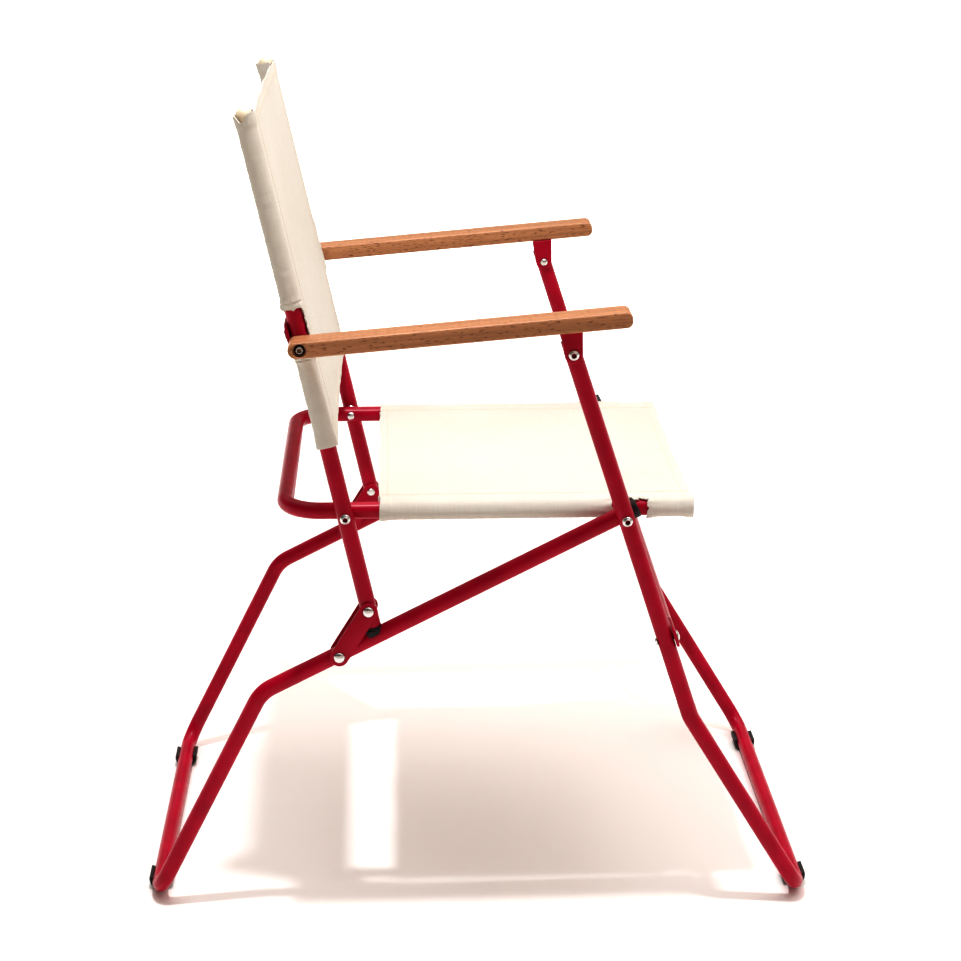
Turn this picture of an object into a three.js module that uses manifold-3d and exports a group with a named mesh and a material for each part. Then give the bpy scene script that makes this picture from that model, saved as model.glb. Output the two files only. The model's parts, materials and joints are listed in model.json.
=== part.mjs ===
// Folding armchair: three bent steel-tube frames, a pair of straight back tubes, beech arms
// and a stretched canvas seat and back.
//
// Frame: millimetres, +Z up, floor at z = 0, the chair faces -Y and the sitter's left is +X.
// The linkage is drawn in the side plane as (forward, up) and placed at a sideways distance x.
//
//        back tube         A = arm rear pivot        layers, from the middle outwards:
//           \   ____arm____                            seat rails
//            A_/         B                             rear legs and back tubes (one layer)
//             \          |\                            front legs, arms above them
//   seat  -----D---------C-\--
//               E\  _.-'    \  front leg
//                F-'         \
//            _.-' rear leg     \
//
import * as THREE from 'three';
import { mergeVertices } from 'three/addons/utils/BufferGeometryUtils.js';
import Module from 'manifold-3d';

const wasm = await Module();
wasm.setup();

// ---------------------------------------------------------------- driving dimensions (mm)
const TUBE_R = 8;              // all frame tube is 16 mm outside
const TUBE_WALL = 1.2;
const TUBE_SIDES = 12;
const BORE_SIDES = 8;

const OVER_ARMS = 451;         // overall width, over the outer faces of the arms
const ARM_WIDTH = 30;
const ARM_THICK = 15;
const ARM_GAP = 2;             // arm to back tube, filled by a washer
const LEG_GAP = 1.5;           // front leg to rear leg
const RAIL_GAP = 2.5;          // rear leg to seat rail, room for the canvas sleeve

const SEAT_HEIGHT = 402.5;     // seat rail centre line above the floor
const SEAT_PIVOTS = 264.5;     // back pivot D to front pivot C, along the rail
const RAIL_FRONT = 61;         // rail in front of C
const RAIL_REAR = 58.5;        // rail behind D, to the centre line of its cross bar
const RAIL_BEND = 36;

const BACK_LEAN = 12.4;        // degrees from upright
const BACK_ARM_PIVOT = 175.5;  // D to A along the back tube
const BACK_TOP = 384;          // D to the tube's top end
const BACK_FOOT = 12;          // tube below E

const FRONT_LEAN = 18;         // degrees from upright
const FRONT_ARM_PIVOT = 170;   // C to B
const FRONT_TOP = 13;          // tube above B
const FRONT_KNEE = 213.4;      // C to the knee
const FRONT_SHIN_LEAN = 31.15;
const FRONT_KNEE_BEND = 45;
const FRONT_FOOT_BEND = 26;
const FRONT_RUNG = 128;        // C to the front rung, along the leg

const REAR_SLOPE = 27;         // degrees from level
const REAR_KNEE_PAST = 86;     // F to the bend
const REAR_SHIN_LEAN = 26.83;  // degrees from upright
const REAR_KNEE_BEND = 38;
const REAR_FOOT_BEND = 26;
const REAR_TIP = 13;           // tube in front of C

// where the links' pivots lie from the point at which back tube and rear leg cross
const CROSSING_TO_E = 29.1;    // up the back tube
const CROSSING_TO_F = 39.05;   // back along the leg

const ARM_DROP = 31;           // arm centre line down to B
const ARM_BEHIND = 10.8;       // arm behind A
const ARM_AHEAD = 55.3;        // arm in front of the foot of B on it

const BOLT_R = 3;
const BOLT_HEAD_R = 5;
const BOLT_HEAD = 3;
const RIVET_HEAD_R = 5.4;
const CLEAR = 0.3;             // touching pieces, and pins in their holes

const LINK_WIDTH = 18;
const LINK_THICK = 2.4;
const BRACKET_WIDTH = 20;
const BRACKET_THICK = 1.2;
const CLOTH = 1.2;             // canvas of a sleeve
const SHEET = 1.4;             // canvas between the sleeves
const SEAT_SAG = 5;
const BACK_SAG = 2;
const SEAT_CLOTH_BEHIND = 32;  // D to the seat canvas's rear edge
const BACK_CLOTH_BOTTOM = 71;  // D to the back canvas's lower edge
const NOTCH_BELOW = 11;        // a sleeve's notch starts this far before the pivot
const NOTCH_PAST = 23;         // and ends this far past it, or past the rung
const NOTCH_REACH = 13;        // sideways from the tube's centre line
const PAD_THICK = 3;           // rubber foot under the tube
const PAD_LENGTH = 26;
const PAD_BULGE = 0.7;         // its round sides reach this far past the level of its flat sole

const BACK_RUNG = BACK_ARM_PIVOT + 8.5;  // D to the back rung, along the tube
const RUNG_FLAT = 1.7;         // half thickness of a rung's flattened end
const RUNG_FLAT_WIDE = 11;     // half width of it
const RUNG_FLAT_LONG = 27;     // length of it, outer end to the start of the round part
const RUNG_TAPER = 22;

// ---------------------------------------------------------------- layers (sideways distances)
const ARM_OUT = OVER_ARMS / 2;
const ARM_IN = ARM_OUT - ARM_WIDTH;
const REAR_X = ARM_IN - ARM_GAP - TUBE_R;
const FRONT_X = REAR_X + 2 * TUBE_R + LEG_GAP;
const SEAT_X = REAR_X - 2 * TUBE_R - RAIL_GAP;
const SLEEVE_IN = TUBE_R + CLEAR;
const SLEEVE_OUT = SLEEVE_IN + CLOTH;

// ---------------------------------------------------------------- side-plane points
const rad = THREE.MathUtils.degToRad;
const dir = (forward, up) => new THREE.Vector2(forward, up).normalize();
const upright = (lean) => dir(-Math.sin(rad(lean)), Math.cos(rad(lean)));  // leans backwards
const along = (point, d, length) => point.clone().addScaledVector(d, length);
const toHeight = (point, d, height) => along(point, d, (height - point.y) / d.y);
const quarterLeft = (d) => new THREE.Vector2(-d.y, d.x);

const BAR_HEIGHT = TUBE_R + PAD_THICK;
const BACK_CLOTH_TOP = BACK_TOP - 4;
const backUp = upright(BACK_LEAN);
const frontUp = upright(FRONT_LEAN);
const rearDown = dir(-Math.cos(rad(REAR_SLOPE)), -Math.sin(rad(REAR_SLOPE)));

const D = new THREE.Vector2(0, SEAT_HEIGHT);
const C = new THREE.Vector2(SEAT_PIVOTS, SEAT_HEIGHT);
const A = along(D, backUp, BACK_ARM_PIVOT);
const B = along(C, frontUp, FRONT_ARM_PIVOT);
const legToCrossing = D.clone().sub(C).cross(backUp) / rearDown.cross(backUp);
const crossing = along(C, rearDown, legToCrossing);
const E = along(crossing, backUp, CROSSING_TO_E);
const F = along(crossing, rearDown, CROSSING_TO_F);
const FRONT_K = along(C, frontUp, -FRONT_KNEE);
const FRONT_F = toHeight(FRONT_K, upright(FRONT_SHIN_LEAN), BAR_HEIGHT);
const REAR_K = along(F, rearDown, REAR_KNEE_PAST);
const REAR_F = toHeight(REAR_K, dir(-Math.sin(rad(REAR_SHIN_LEAN)), -Math.cos(rad(REAR_SHIN_LEAN))),
  BAR_HEIGHT);
const armSlope = B.clone().sub(A).angle() + Math.asin(ARM_DROP / A.distanceTo(B));
const armDir = new THREE.Vector2(Math.cos(armSlope), Math.sin(armSlope));
const armUp = quarterLeft(armDir);

// a side-plane point placed at a sideways distance
const at = (x, p) => new THREE.Vector3(x, -p.x, p.y);
const heading = (d) => new THREE.Vector3(0, -d.x, d.y);
const X_AXIS = new THREE.Vector3(1, 0, 0);

// ---------------------------------------------------------------- colours
const paint = (color, roughness, metalness) =>
  new THREE.MeshStandardMaterial({ color, roughness, metalness });
const frameRed = paint(0xa00f2a, 0.38, 0.1);
const beech = paint(0xc99366, 0.55, 0);
const canvas = paint(0xede4d3, 0.95, 0);
const blackRubber = paint(0x161517, 0.6, 0);
const steel = paint(0xc4c4c4, 0.25, 1);
const creamPlastic = paint(0xe4d9c4, 0.5, 0);

const chair = new THREE.Group();

// Adds one piece; the pair version makes a mirrored piece on each side of the chair.
function add(name, geometry, material) {
  const mesh = new THREE.Mesh(geometry, material);
  mesh.name = name;
  chair.add(mesh);
}
function addPair(name, makeGeometry, material) {
  add(`${name}_left`, makeGeometry(1), material);
  add(`${name}_right`, makeGeometry(-1), material);
}

// ---------------------------------------------------------------- solids
function toSolid(geometry) {
  const bare = geometry.index ? geometry.toNonIndexed() : geometry.clone();
  for (const key of Object.keys(bare.attributes)) {
    if (key !== 'position') bare.deleteAttribute(key);
  }
  const merged = mergeVertices(bare, 1e-4);
  return new wasm.Manifold(new wasm.Mesh({
    numProp: 3,
    vertProperties: new Float32Array(merged.attributes.position.array),
    triVerts: new Uint32Array(merged.index.array),
  }));
}
function toGeometry(solid) {
  const mesh = solid.getMesh();
  const geometry = new THREE.BufferGeometry();
  geometry.setAttribute('position', new THREE.BufferAttribute(mesh.vertProperties, 3));
  geometry.setIndex(new THREE.BufferAttribute(mesh.triVerts, 1));
  return geometry;
}
function cut(geometry, ...tools) {
  return toGeometry(tools.reduce((solid, tool) => solid.subtract(toSolid(tool)), toSolid(geometry)));
}

// ---------------------------------------------------------------- shape helpers
function ring(radius, sides, centreX = 0, centreY = 0) {
  return Array.from({ length: sides }, (_, i) => {
    const angle = (2 * Math.PI * (i + 0.5)) / sides;
    return new THREE.Vector2(centreX + radius * Math.cos(angle), centreY + radius * Math.sin(angle));
  });
}

// Corner radius of a many-sided bore whose flats sit at the given radius.
const bored = (radius, sides) => radius / Math.cos(Math.PI / sides);

// Corner points rounded to arcs, as a curve whose spaced points sit at the ends of its
// straights and at even steps round its bends.
class BentPath extends THREE.Curve {
  constructor(corners, radii, steps = 4) {
    super();
    this.stations = [];
    corners.forEach((corner, i) => {
      const before = corners[i - 1];
      const after = corners[i + 1];
      if (!before || !after) {
        const tangent = before ? corner.clone().sub(before) : after.clone().sub(corner);
        this.stations.push({ point: corner, tangent: tangent.normalize() });
        return;
      }
      const into = corner.clone().sub(before).normalize();
      const out = after.clone().sub(corner).normalize();
      const turn = into.angleTo(out);
      const axis = into.clone().cross(out).normalize();
      const start = corner.clone().addScaledVector(into, -radii[i] * Math.tan(turn / 2));
      const inward = axis.clone().cross(into);
      const centre = start.clone().addScaledVector(inward, radii[i]);
      for (let k = 0; k <= steps; k += 1) {
        const spoke = start.clone().sub(centre).applyAxisAngle(axis, (turn * k) / steps);
        this.stations.push({
          point: centre.clone().add(spoke),
          tangent: into.clone().applyAxisAngle(axis, (turn * k) / steps),
        });
      }
    });
    this.steps = this.stations.length - 1;
  }

  station(t) { return this.stations[Math.round(t * this.steps)]; }

  getPoint(t) { return this.station(t).point.clone(); }

  getPointAt(t) { return this.getPoint(t); }

  getTangentAt(t) { return this.station(t).tangent.clone(); }
}

function sweep(path, outline, holes = []) {
  const shape = new THREE.Shape(outline);
  shape.holes = holes.map((hole) => new THREE.Path(hole));
  return new THREE.ExtrudeGeometry(shape, { steps: path.steps, extrudePath: path, bevelEnabled: false });
}
// Frame tube, open at both ends.
function tube(corners, radii = []) {
  const path = new BentPath(corners, radii);
  return sweep(path, ring(TUBE_R, TUBE_SIDES), [ring(bored(TUBE_R - TUBE_WALL, BORE_SIDES), BORE_SIDES)]);
}

// Turns a piece made along +Z onto a direction and a place.
function place(geometry, point, direction) {
  const turn = new THREE.Quaternion().setFromUnitVectors(new THREE.Vector3(0, 0, 1), direction);
  return geometry.applyQuaternion(turn).translate(point.x, point.y, point.z);
}
// Turned piece: (radius, height) pairs from the axis and back to it, height along the direction.
function turned(profile, point, direction, sides = 10) {
  const points = profile.map(([r, z]) => new THREE.Vector2(r, z));
  const lathe = new THREE.LatheGeometry(points, sides);
  lathe.rotateX(Math.PI / 2);
  return place(lathe, point, direction);
}
function drill(radius, point, direction, from, to, sides = 8) {
  return turned([[0, from], [radius, from], [radius, to], [0, to]], point, direction, sides);
}
// A side-plane outline given thickness from x0 to x1.
function plate(outline, x0, x1, holes = []) {
  const drawn = outline.map((p) => new THREE.Vector2(-p.x, p.y));
  if (THREE.ShapeUtils.isClockWise(drawn)) drawn.reverse();
  const shape = new THREE.Shape(drawn);
  shape.holes = holes.map((hole) => new THREE.Path(hole.map((p) => new THREE.Vector2(-p.x, p.y))));
  const solid = new THREE.ExtrudeGeometry(shape, { depth: Math.abs(x1 - x0), bevelEnabled: false });
  // local x is world y, local y is world z, the thickness is world x
  solid.applyMatrix4(new THREE.Matrix4().makeBasis(
    new THREE.Vector3(0, 1, 0), new THREE.Vector3(0, 0, 1), new THREE.Vector3(1, 0, 0)));
  return solid.translate(Math.min(x0, x1), 0, 0);
}
function arc(centre, radius, from, to, steps) {
  return Array.from({ length: steps + 1 }, (_, i) => {
    const angle = from + ((to - from) * i) / steps;
    return new THREE.Vector2(centre.x + radius * Math.cos(angle), centre.y + radius * Math.sin(angle));
  });
}
const circle = (centre, radius, sides) => ring(radius, sides, centre.x, centre.y);

// ---------------------------------------------------------------- fasteners
// Button-head bolt: head outside at x0, shank to x1 (both measured outwards from the middle).
function bolt(side, p, x0, x1) {
  const head = [[0, x1], [BOLT_R, x1], [BOLT_R, x0], [BOLT_HEAD_R, x0], [BOLT_HEAD_R, x0 + 1],
    [BOLT_HEAD_R * 0.8, x0 + 2.3], [BOLT_HEAD_R * 0.45, x0 + BOLT_HEAD], [0, x0 + BOLT_HEAD]];
  const body = turned(head, at(0, p), X_AXIS.clone().multiplyScalar(side));
  const socket = drill(2, at(0, p), X_AXIS.clone().multiplyScalar(side), x0 + 1.2, x0 + 4, 6);
  return cut(body, socket);
}
// Dome-head rivet with a small set head at the inner end.
function rivet(point, direction, from, to) {
  const r = RIVET_HEAD_R;
  return turned([[0, from - 1.6], [r * 0.8, from], [BOLT_R, from], [BOLT_R, to],
    [r, to], [r * 0.8, to + 1.8], [0, to + 2.9]], point, direction);
}
function washer(side, p, x0, x1, radius) {
  const disc = drill(radius, at(0, p), X_AXIS.clone().multiplyScalar(side), x0, x1, 12);
  return cut(disc, drill(BOLT_R + CLEAR, at(0, p), X_AXIS.clone().multiplyScalar(side), x0 - 1, x1 + 1));
}
const crossHole = (p) => drill(BOLT_R + CLEAR, at(0, p), X_AXIS, -ARM_OUT - 1, ARM_OUT + 1);

// ---------------------------------------------------------------- rungs with flattened ends
// A tube along X whose ends are pressed flat; the wall keeps its thickness. The round part is
// set over, so that its far side is flush with the flats: legSide is 1 where the legs lie along
// thickDir and -1 where they lie against it.
const rungFlatEnd = (half) => half - RUNG_FLAT_LONG;
function rung(half, centre, wideDir, thickDir, legSide) {
  const taperSteps = 4;
  const xs = [-half];
  for (let k = 0; k <= taperSteps; k += 1) xs.push(-rungFlatEnd(half) + (RUNG_TAPER * k) / taperSteps);
  const stations = [...xs, ...xs.map((x) => -x).reverse()];
  const path = new BentPath([new THREE.Vector3(stations[0], 0, 0),
    new THREE.Vector3(stations[stations.length - 1], 0, 0)], []);
  path.stations = stations.map((x) => ({ point: new THREE.Vector3(x, 0, 0), tangent: X_AXIS }));
  path.steps = stations.length - 1;
  const geometry = sweep(path, ring(TUBE_R, TUBE_SIDES), [ring(TUBE_R - TUBE_WALL, BORE_SIDES)]);
  const position = geometry.attributes.position;
  const place3 = new THREE.Vector3();
  for (let i = 0; i < position.count; i += 1) {
    place3.fromBufferAttribute(position, i);
    const radius = Math.hypot(place3.y, place3.z);
    const wall = radius < TUBE_R - TUBE_WALL / 2 ? TUBE_WALL : 0;
    const t = THREE.MathUtils.smoothstep(rungFlatEnd(half) - Math.abs(place3.x), 0, RUNG_TAPER);
    const wide = THREE.MathUtils.lerp(RUNG_FLAT_WIDE, TUBE_R, t) - wall;
    const thick = THREE.MathUtils.lerp(RUNG_FLAT, TUBE_R, t) - wall;
    const y = (place3.y / radius) * wide;
    const z = (place3.z / radius) * thick + legSide * (TUBE_R - RUNG_FLAT) * t;
    const out = new THREE.Vector3(place3.x, 0, 0).addScaledVector(wideDir, y)
      .addScaledVector(thickDir, z).add(centre);
    position.setXYZ(i, out.x, out.y, out.z);
  }
  return geometry;
}

// ================================================================ front frame
const frontRungPoint = along(C, frontUp, -FRONT_RUNG);
const frontFace = quarterLeft(frontUp).negate();       // forwards, square to the leg
const rungOffset = TUBE_R + CLEAR + RUNG_FLAT;
const legPin = (x, p, face) => drill(BOLT_R + CLEAR, at(x, p), heading(face), -20, 20);
{
  const top = along(B, frontUp, FRONT_TOP);
  const half = [top, FRONT_K, FRONT_F];
  const corners = [...half.map((p) => at(-FRONT_X, p)), ...half.map((p) => at(FRONT_X, p)).reverse()];
  const frame = tube(corners, [0, FRONT_KNEE_BEND, FRONT_FOOT_BEND, FRONT_FOOT_BEND, FRONT_KNEE_BEND]);
  add('front_frame', cut(frame, crossHole(B), crossHole(C),
    legPin(-FRONT_X, frontRungPoint, frontFace), legPin(FRONT_X, frontRungPoint, frontFace)), frameRed);

  const centre = at(0, along(frontRungPoint, frontFace, rungOffset));
  const bar = rung(FRONT_X + TUBE_R, centre, heading(frontUp), heading(frontFace), -1);
  add('front_stretcher', cut(bar, legPin(-FRONT_X, frontRungPoint, frontFace),
    legPin(FRONT_X, frontRungPoint, frontFace)), frameRed);
  addPair('front_stretcher_rivet', (side) => rivet(at(side * FRONT_X, frontRungPoint), heading(frontFace),
    -TUBE_R - CLEAR, rungOffset + RUNG_FLAT + CLEAR), steel);
  addPair('front_pivot_bolt', (side) => bolt(side, C, FRONT_X + TUBE_R + CLEAR, FRONT_X - TUBE_R + 0.1),
    steel);
}

// ================================================================ rubber feet
// A saddle round the underside of a floor bar, flat underneath.
function footPad(side, foot, legX, bend) {
  const outer = BAR_HEIGHT + PAD_BULGE;
  const down = -Math.PI / 2;
  const wrap = rad(105);
  const flat = Math.acos(BAR_HEIGHT / outer);           // half the angle of the flat sole
  const inner = arc(foot, TUBE_R + CLEAR, down + wrap, down - wrap, 10);
  const sole = [...arc(foot, outer, down - wrap, down - flat, 4),
    ...arc(foot, outer, down + flat, down + wrap, 4)];
  const end = legX - bend;
  return plate([...inner, ...sole], side * end, side * (end - PAD_LENGTH));
}
addPair('front_foot_pad', (side) => footPad(side, FRONT_F, FRONT_X, FRONT_FOOT_BEND + 2), blackRubber);
addPair('rear_foot_pad', (side) => footPad(side, REAR_F, REAR_X, REAR_FOOT_BEND + 2), blackRubber);

// ================================================================ rear frame
{
  const tip = along(C, rearDown, -REAR_TIP);
  const half = [tip, REAR_K, REAR_F];
  const corners = [...half.map((p) => at(-REAR_X, p)), ...half.map((p) => at(REAR_X, p)).reverse()];
  const frame = tube(corners, [0, REAR_KNEE_BEND, REAR_FOOT_BEND, REAR_FOOT_BEND, REAR_KNEE_BEND]);
  add('rear_frame', cut(frame, crossHole(F), crossHole(C)), frameRed);

  // slip-on cap over the front end of each rear leg
  const capWall = 0.6;
  const capEnd = REAR_TIP + 3;
  const r = bored(TUBE_R + CLEAR / 2, TUBE_SIDES);
  addPair('rear_leg_cap', (side) => turned([[0, REAR_TIP + CLEAR], [r, REAR_TIP + CLEAR], [r, 5],
    [r + capWall, 5], [r + capWall, capEnd - 1], [r + capWall - 1, capEnd], [0, capEnd]],
  at(side * REAR_X, C), heading(rearDown.clone().negate()), TUBE_SIDES), blackRubber);
}

// ================================================================ back tubes
const backFront = quarterLeft(backUp).negate();         // forwards, square to the tubes
const backRungPoint = along(D, backUp, BACK_RUNG);
addPair('back_tube', (side) => cut(
  tube([at(side * REAR_X, along(E, backUp, -BACK_FOOT)), at(side * REAR_X, along(D, backUp, BACK_TOP))]),
  crossHole(D), crossHole(A), crossHole(E), legPin(side * REAR_X, backRungPoint, backFront)), frameRed);
{
  const centre = at(0, along(backRungPoint, backFront, -rungOffset));
  const bar = rung(REAR_X + TUBE_R, centre, heading(backUp), heading(backFront), 1);
  add('back_stretcher', cut(bar, legPin(-REAR_X, backRungPoint, backFront),
    legPin(REAR_X, backRungPoint, backFront)), frameRed);
  addPair('back_stretcher_rivet', (side) => turned(
    [[0, -rungOffset - RUNG_FLAT - 2.6], [3.4, -rungOffset - RUNG_FLAT - 1.9],
      [4.6, -rungOffset - RUNG_FLAT - CLEAR], [BOLT_R, -rungOffset - RUNG_FLAT - CLEAR],
      [BOLT_R, TUBE_R - TUBE_WALL - 1], [0, TUBE_R - TUBE_WALL - 1]],
    at(side * REAR_X, backRungPoint), heading(backFront)), steel);
}
// plug pushed into the lower end; its saddle end rests on the rear leg
addPair('back_foot_plug', (side) => {
  const bore = TUBE_R - TUBE_WALL - CLEAR;
  const body = turned([[0, BACK_FOOT - 7], [bore, BACK_FOOT - 7], [bore, BACK_FOOT + CLEAR],
    [TUBE_R, BACK_FOOT + CLEAR], [TUBE_R, 34], [0, 34]],
  at(side * REAR_X, E), heading(backUp.clone().negate()));
  const leg = drill(TUBE_R + CLEAR, at(side * REAR_X, C), heading(rearDown), 0, C.distanceTo(REAR_K), 16);
  const onLeg = along(C, rearDown, E.clone().sub(C).dot(rearDown));
  const below = place(new THREE.BoxGeometry(60, 60, 60).translate(0, 0, 30),
    at(side * REAR_X, onLeg), heading(quarterLeft(rearDown)));
  return cut(body, leg, below);
}, blackRubber);
// domed plug in the upper end
addPair('back_top_cap', (side) => turned([[0, BACK_TOP - 8], [TUBE_R - TUBE_WALL - CLEAR, BACK_TOP - 8],
  [TUBE_R - TUBE_WALL - CLEAR, BACK_TOP + CLEAR], [TUBE_R, BACK_TOP + CLEAR],
  [TUBE_R * 0.97, BACK_TOP + 2.2], [TUBE_R * 0.82, BACK_TOP + 5], [TUBE_R * 0.5, BACK_TOP + 7.2],
  [0, BACK_TOP + 8.2]], at(side * REAR_X, D), heading(backUp)), creamPlastic);

// ================================================================ links between back and rear leg
{
  const run = F.clone().sub(E).angle();
  const r = LINK_WIDTH / 2;
  const outline = [...arc(F, r, run - Math.PI / 2, run + Math.PI / 2, 8),
    ...arc(E, r, run + Math.PI / 2, run + 1.5 * Math.PI, 8)];
  const holes = [circle(E, BOLT_R + CLEAR, 8), circle(F, BOLT_R + CLEAR, 8)];
  const near = TUBE_R + CLEAR;
  const far = near + LINK_THICK;
  addPair('link_outer', (side) => plate(outline, side * (REAR_X + near), side * (REAR_X + far), holes),
    frameRed);
  addPair('link_inner', (side) => plate(outline, side * (REAR_X - near), side * (REAR_X - far), holes),
    frameRed);
  const pin = (side, p) => rivet(at(side * REAR_X, p), X_AXIS.clone().multiplyScalar(side),
    -far - CLEAR, far + CLEAR);
  addPair('link_top_rivet', (side) => pin(side, E), steel);
  addPair('link_bottom_rivet', (side) => pin(side, F), steel);
}

// ================================================================ arms and their brackets
const flangeTop = -ARM_THICK / 2 - CLEAR;               // measured up from the arm's centre line
const bracketFoot = B.clone().sub(A).dot(armDir);       // B measured along the arm from A
const onArm = (a, up) => along(along(A, armDir, a), armUp, up);
const screwSpread = 5;
const screwPoint = (side, k) => at(side * FRONT_X + k * screwSpread, onArm(bracketFoot, 0));
{
  const r = ARM_THICK / 2;
  const nose = 6;
  const back = arc(new THREE.Vector2(0, 0), r, Math.PI / 2, 1.5 * Math.PI, 8);
  const length = bracketFoot + ARM_AHEAD;               // A to the arm's front end
  const profile = [...back.map((p) => new THREE.Vector2(p.x - ARM_BEHIND + r, p.y)),
    ...arc(new THREE.Vector2(length - nose, -r + nose), nose, -Math.PI / 2, 0, 4),
    ...arc(new THREE.Vector2(length - nose, r - nose), nose, 0, Math.PI / 2, 4)];
  const soft = 1.5;                                     // eased long edges
  const shape = new THREE.Shape(profile);
  addPair('arm', (side) => {
    const wood = new THREE.ExtrudeGeometry(shape, { depth: ARM_WIDTH - 2 * soft, bevelEnabled: true,
      bevelSize: soft, bevelOffset: -soft, bevelThickness: soft, bevelSegments: 2 });
    wood.translate(0, 0, soft);
    wood.applyMatrix4(new THREE.Matrix4().makeBasis(heading(armDir), heading(armUp),
      new THREE.Vector3(-1, 0, 0)));
    const origin = at(side > 0 ? ARM_OUT : -ARM_IN, A);
    wood.translate(origin.x, origin.y, origin.z);
    const outward = X_AXIS.clone().multiplyScalar(side);
    const sink = drill(6.2, at(0, A), outward, ARM_OUT - 4, ARM_OUT + 2, 12);
    const pilots = [-1, 1].map((k) => drill(1.5 + CLEAR, screwPoint(side, k), heading(armUp), -r - 1, 3, 6));
    return cut(wood, sink, drill(BOLT_R + CLEAR, at(0, A), outward, ARM_IN - 2, ARM_OUT), ...pilots);
  }, beech);
}
addPair('arm_bracket', (side) => {
  const r = BRACKET_WIDTH / 2;
  const top = onArm(bracketFoot, flangeTop);
  const tilt = armSlope;
  const outline = [...arc(B, TUBE_R, tilt + Math.PI, tilt + 2 * Math.PI, 10),
    along(top, armDir, r), along(top, armDir, -r)];
  const cheek = TUBE_R + CLEAR;
  const half = cheek + BRACKET_THICK;
  const outer = plate(outline, side * (FRONT_X - half), side * (FRONT_X + half));
  const under = onArm(bracketFoot, flangeTop - BRACKET_THICK);
  const room = [along(under, armDir, -2 * r), along(under, armDir, 2 * r),
    along(along(B, armDir, 2 * r), armUp, -2 * r), along(along(B, armDir, -2 * r), armUp, -2 * r)].reverse();
  const inner = plate(room, side * (FRONT_X - cheek), side * (FRONT_X + cheek));
  const pilots = [-1, 1].map((k) => drill(1.5 + CLEAR, screwPoint(side, k), heading(armUp),
    flangeTop - 4, flangeTop + 2, 6));
  return cut(outer, inner, crossHole(B), ...pilots);
}, frameRed);
for (const [label, k] of [['inner', -1], ['outer', 1]]) {
  addPair(`bracket_screw_${label}`, (side) => {
    const under = flangeTop - BRACKET_THICK - 0.1;
    return turned([[0, under - 1.6], [2, under - 1.4], [3, under], [1.5, under], [1.5, 2], [0, 2.6]],
      screwPoint(side, k * side), heading(armUp), 8);
  }, steel);
}
addPair('arm_front_bolt', (side) => {
  const cheek = TUBE_R + CLEAR + BRACKET_THICK;
  return bolt(side, B, FRONT_X + cheek + 0.1, FRONT_X - cheek - 1);
}, steel);
addPair('arm_front_nut', (side) => {
  const cheek = TUBE_R + CLEAR + BRACKET_THICK;
  const face = FRONT_X - cheek - 0.1;
  const dome = turned([[0, face - 3], [2.4, face - 2.8], [4.4, face - 1.2], [4.6, face], [0, face]],
    at(0, B), X_AXIS.clone().multiplyScalar(side));
  const outward = X_AXIS.clone().multiplyScalar(side);
  return cut(dome, drill(bored(BOLT_R + 0.1, 8), at(0, B), outward, face - 1.3, face + 1));
}, steel);
// The rear bolt ends flush with the arm's inner face; the spacer washer sits on the back tube.
addPair('arm_rear_bolt', (side) => {
  const seat = ARM_OUT - 4 + 0.1;
  const outward = X_AXIS.clone().multiplyScalar(side);
  const body = turned([[0, ARM_IN], [BOLT_R, ARM_IN], [BOLT_R, seat],
    [4.6, seat], [4.6, seat + 1.6], [3.6, seat + 2.6], [0, seat + 2.8]], at(0, A), outward);
  return cut(body, drill(2.2, at(0, A), outward, seat + 0.9, seat + 4, 6));
}, steel);
addPair('arm_washer', (side) => washer(side, A, ARM_IN - ARM_GAP + CLEAR, ARM_IN - CLEAR, 7), steel);

// ================================================================ seat frame and its pins
const RAIL_END = C.x + RAIL_FRONT;
{
  const front = new THREE.Vector2(RAIL_END, SEAT_HEIGHT);
  const rear = new THREE.Vector2(D.x - RAIL_REAR, SEAT_HEIGHT);
  const corners = [at(-SEAT_X, front), at(-SEAT_X, rear), at(SEAT_X, rear), at(SEAT_X, front)];
  add('seat_frame', cut(tube(corners, [0, RAIL_BEND, RAIL_BEND]), crossHole(D), crossHole(C)), frameRed);
  const bore = TUBE_R - TUBE_WALL - CLEAR;
  addPair('seat_rail_cap', (side) => turned([[0, -8], [bore, -8], [bore, CLEAR], [TUBE_R, CLEAR],
    [TUBE_R, 1.6], [TUBE_R - 1, 2.6], [0, 3]], at(side * SEAT_X, front), heading(dir(1, 0))), blackRubber);
}
const pinNut = (side, p, x) => turned([[0, x - 2.8], [2.2, x - 2.6], [4.2, x - 1.4], [4.6, x], [0, x]],
  at(0, p), X_AXIS.clone().multiplyScalar(side));
const nutFace = SEAT_X - TUBE_R - CLEAR;
// the bolt of the rear pivot runs through the back tube, a washer and the rail
addPair('seat_pivot_bolt', (side) => bolt(side, D, REAR_X + TUBE_R + CLEAR, nutFace + 0.4), steel);
addPair('seat_pivot_nut', (side) => pinNut(side, D, nutFace), steel);
addPair('seat_pivot_washer', (side) => washer(side, D, SEAT_X + TUBE_R + CLEAR, REAR_X - TUBE_R - CLEAR, 7),
  steel);
// inner half of the front pivot, held in the rail
addPair('front_pivot_nut', (side) => turned([[0, nutFace - 2.8], [2.2, nutFace - 2.6],
  [4.2, nutFace - 1.4], [4.6, nutFace], [BOLT_R, nutFace], [BOLT_R, SEAT_X + TUBE_R + 0.8],
  [0, SEAT_X + TUBE_R + 0.8]], at(0, C), X_AXIS.clone().multiplyScalar(side)), steel);

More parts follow.
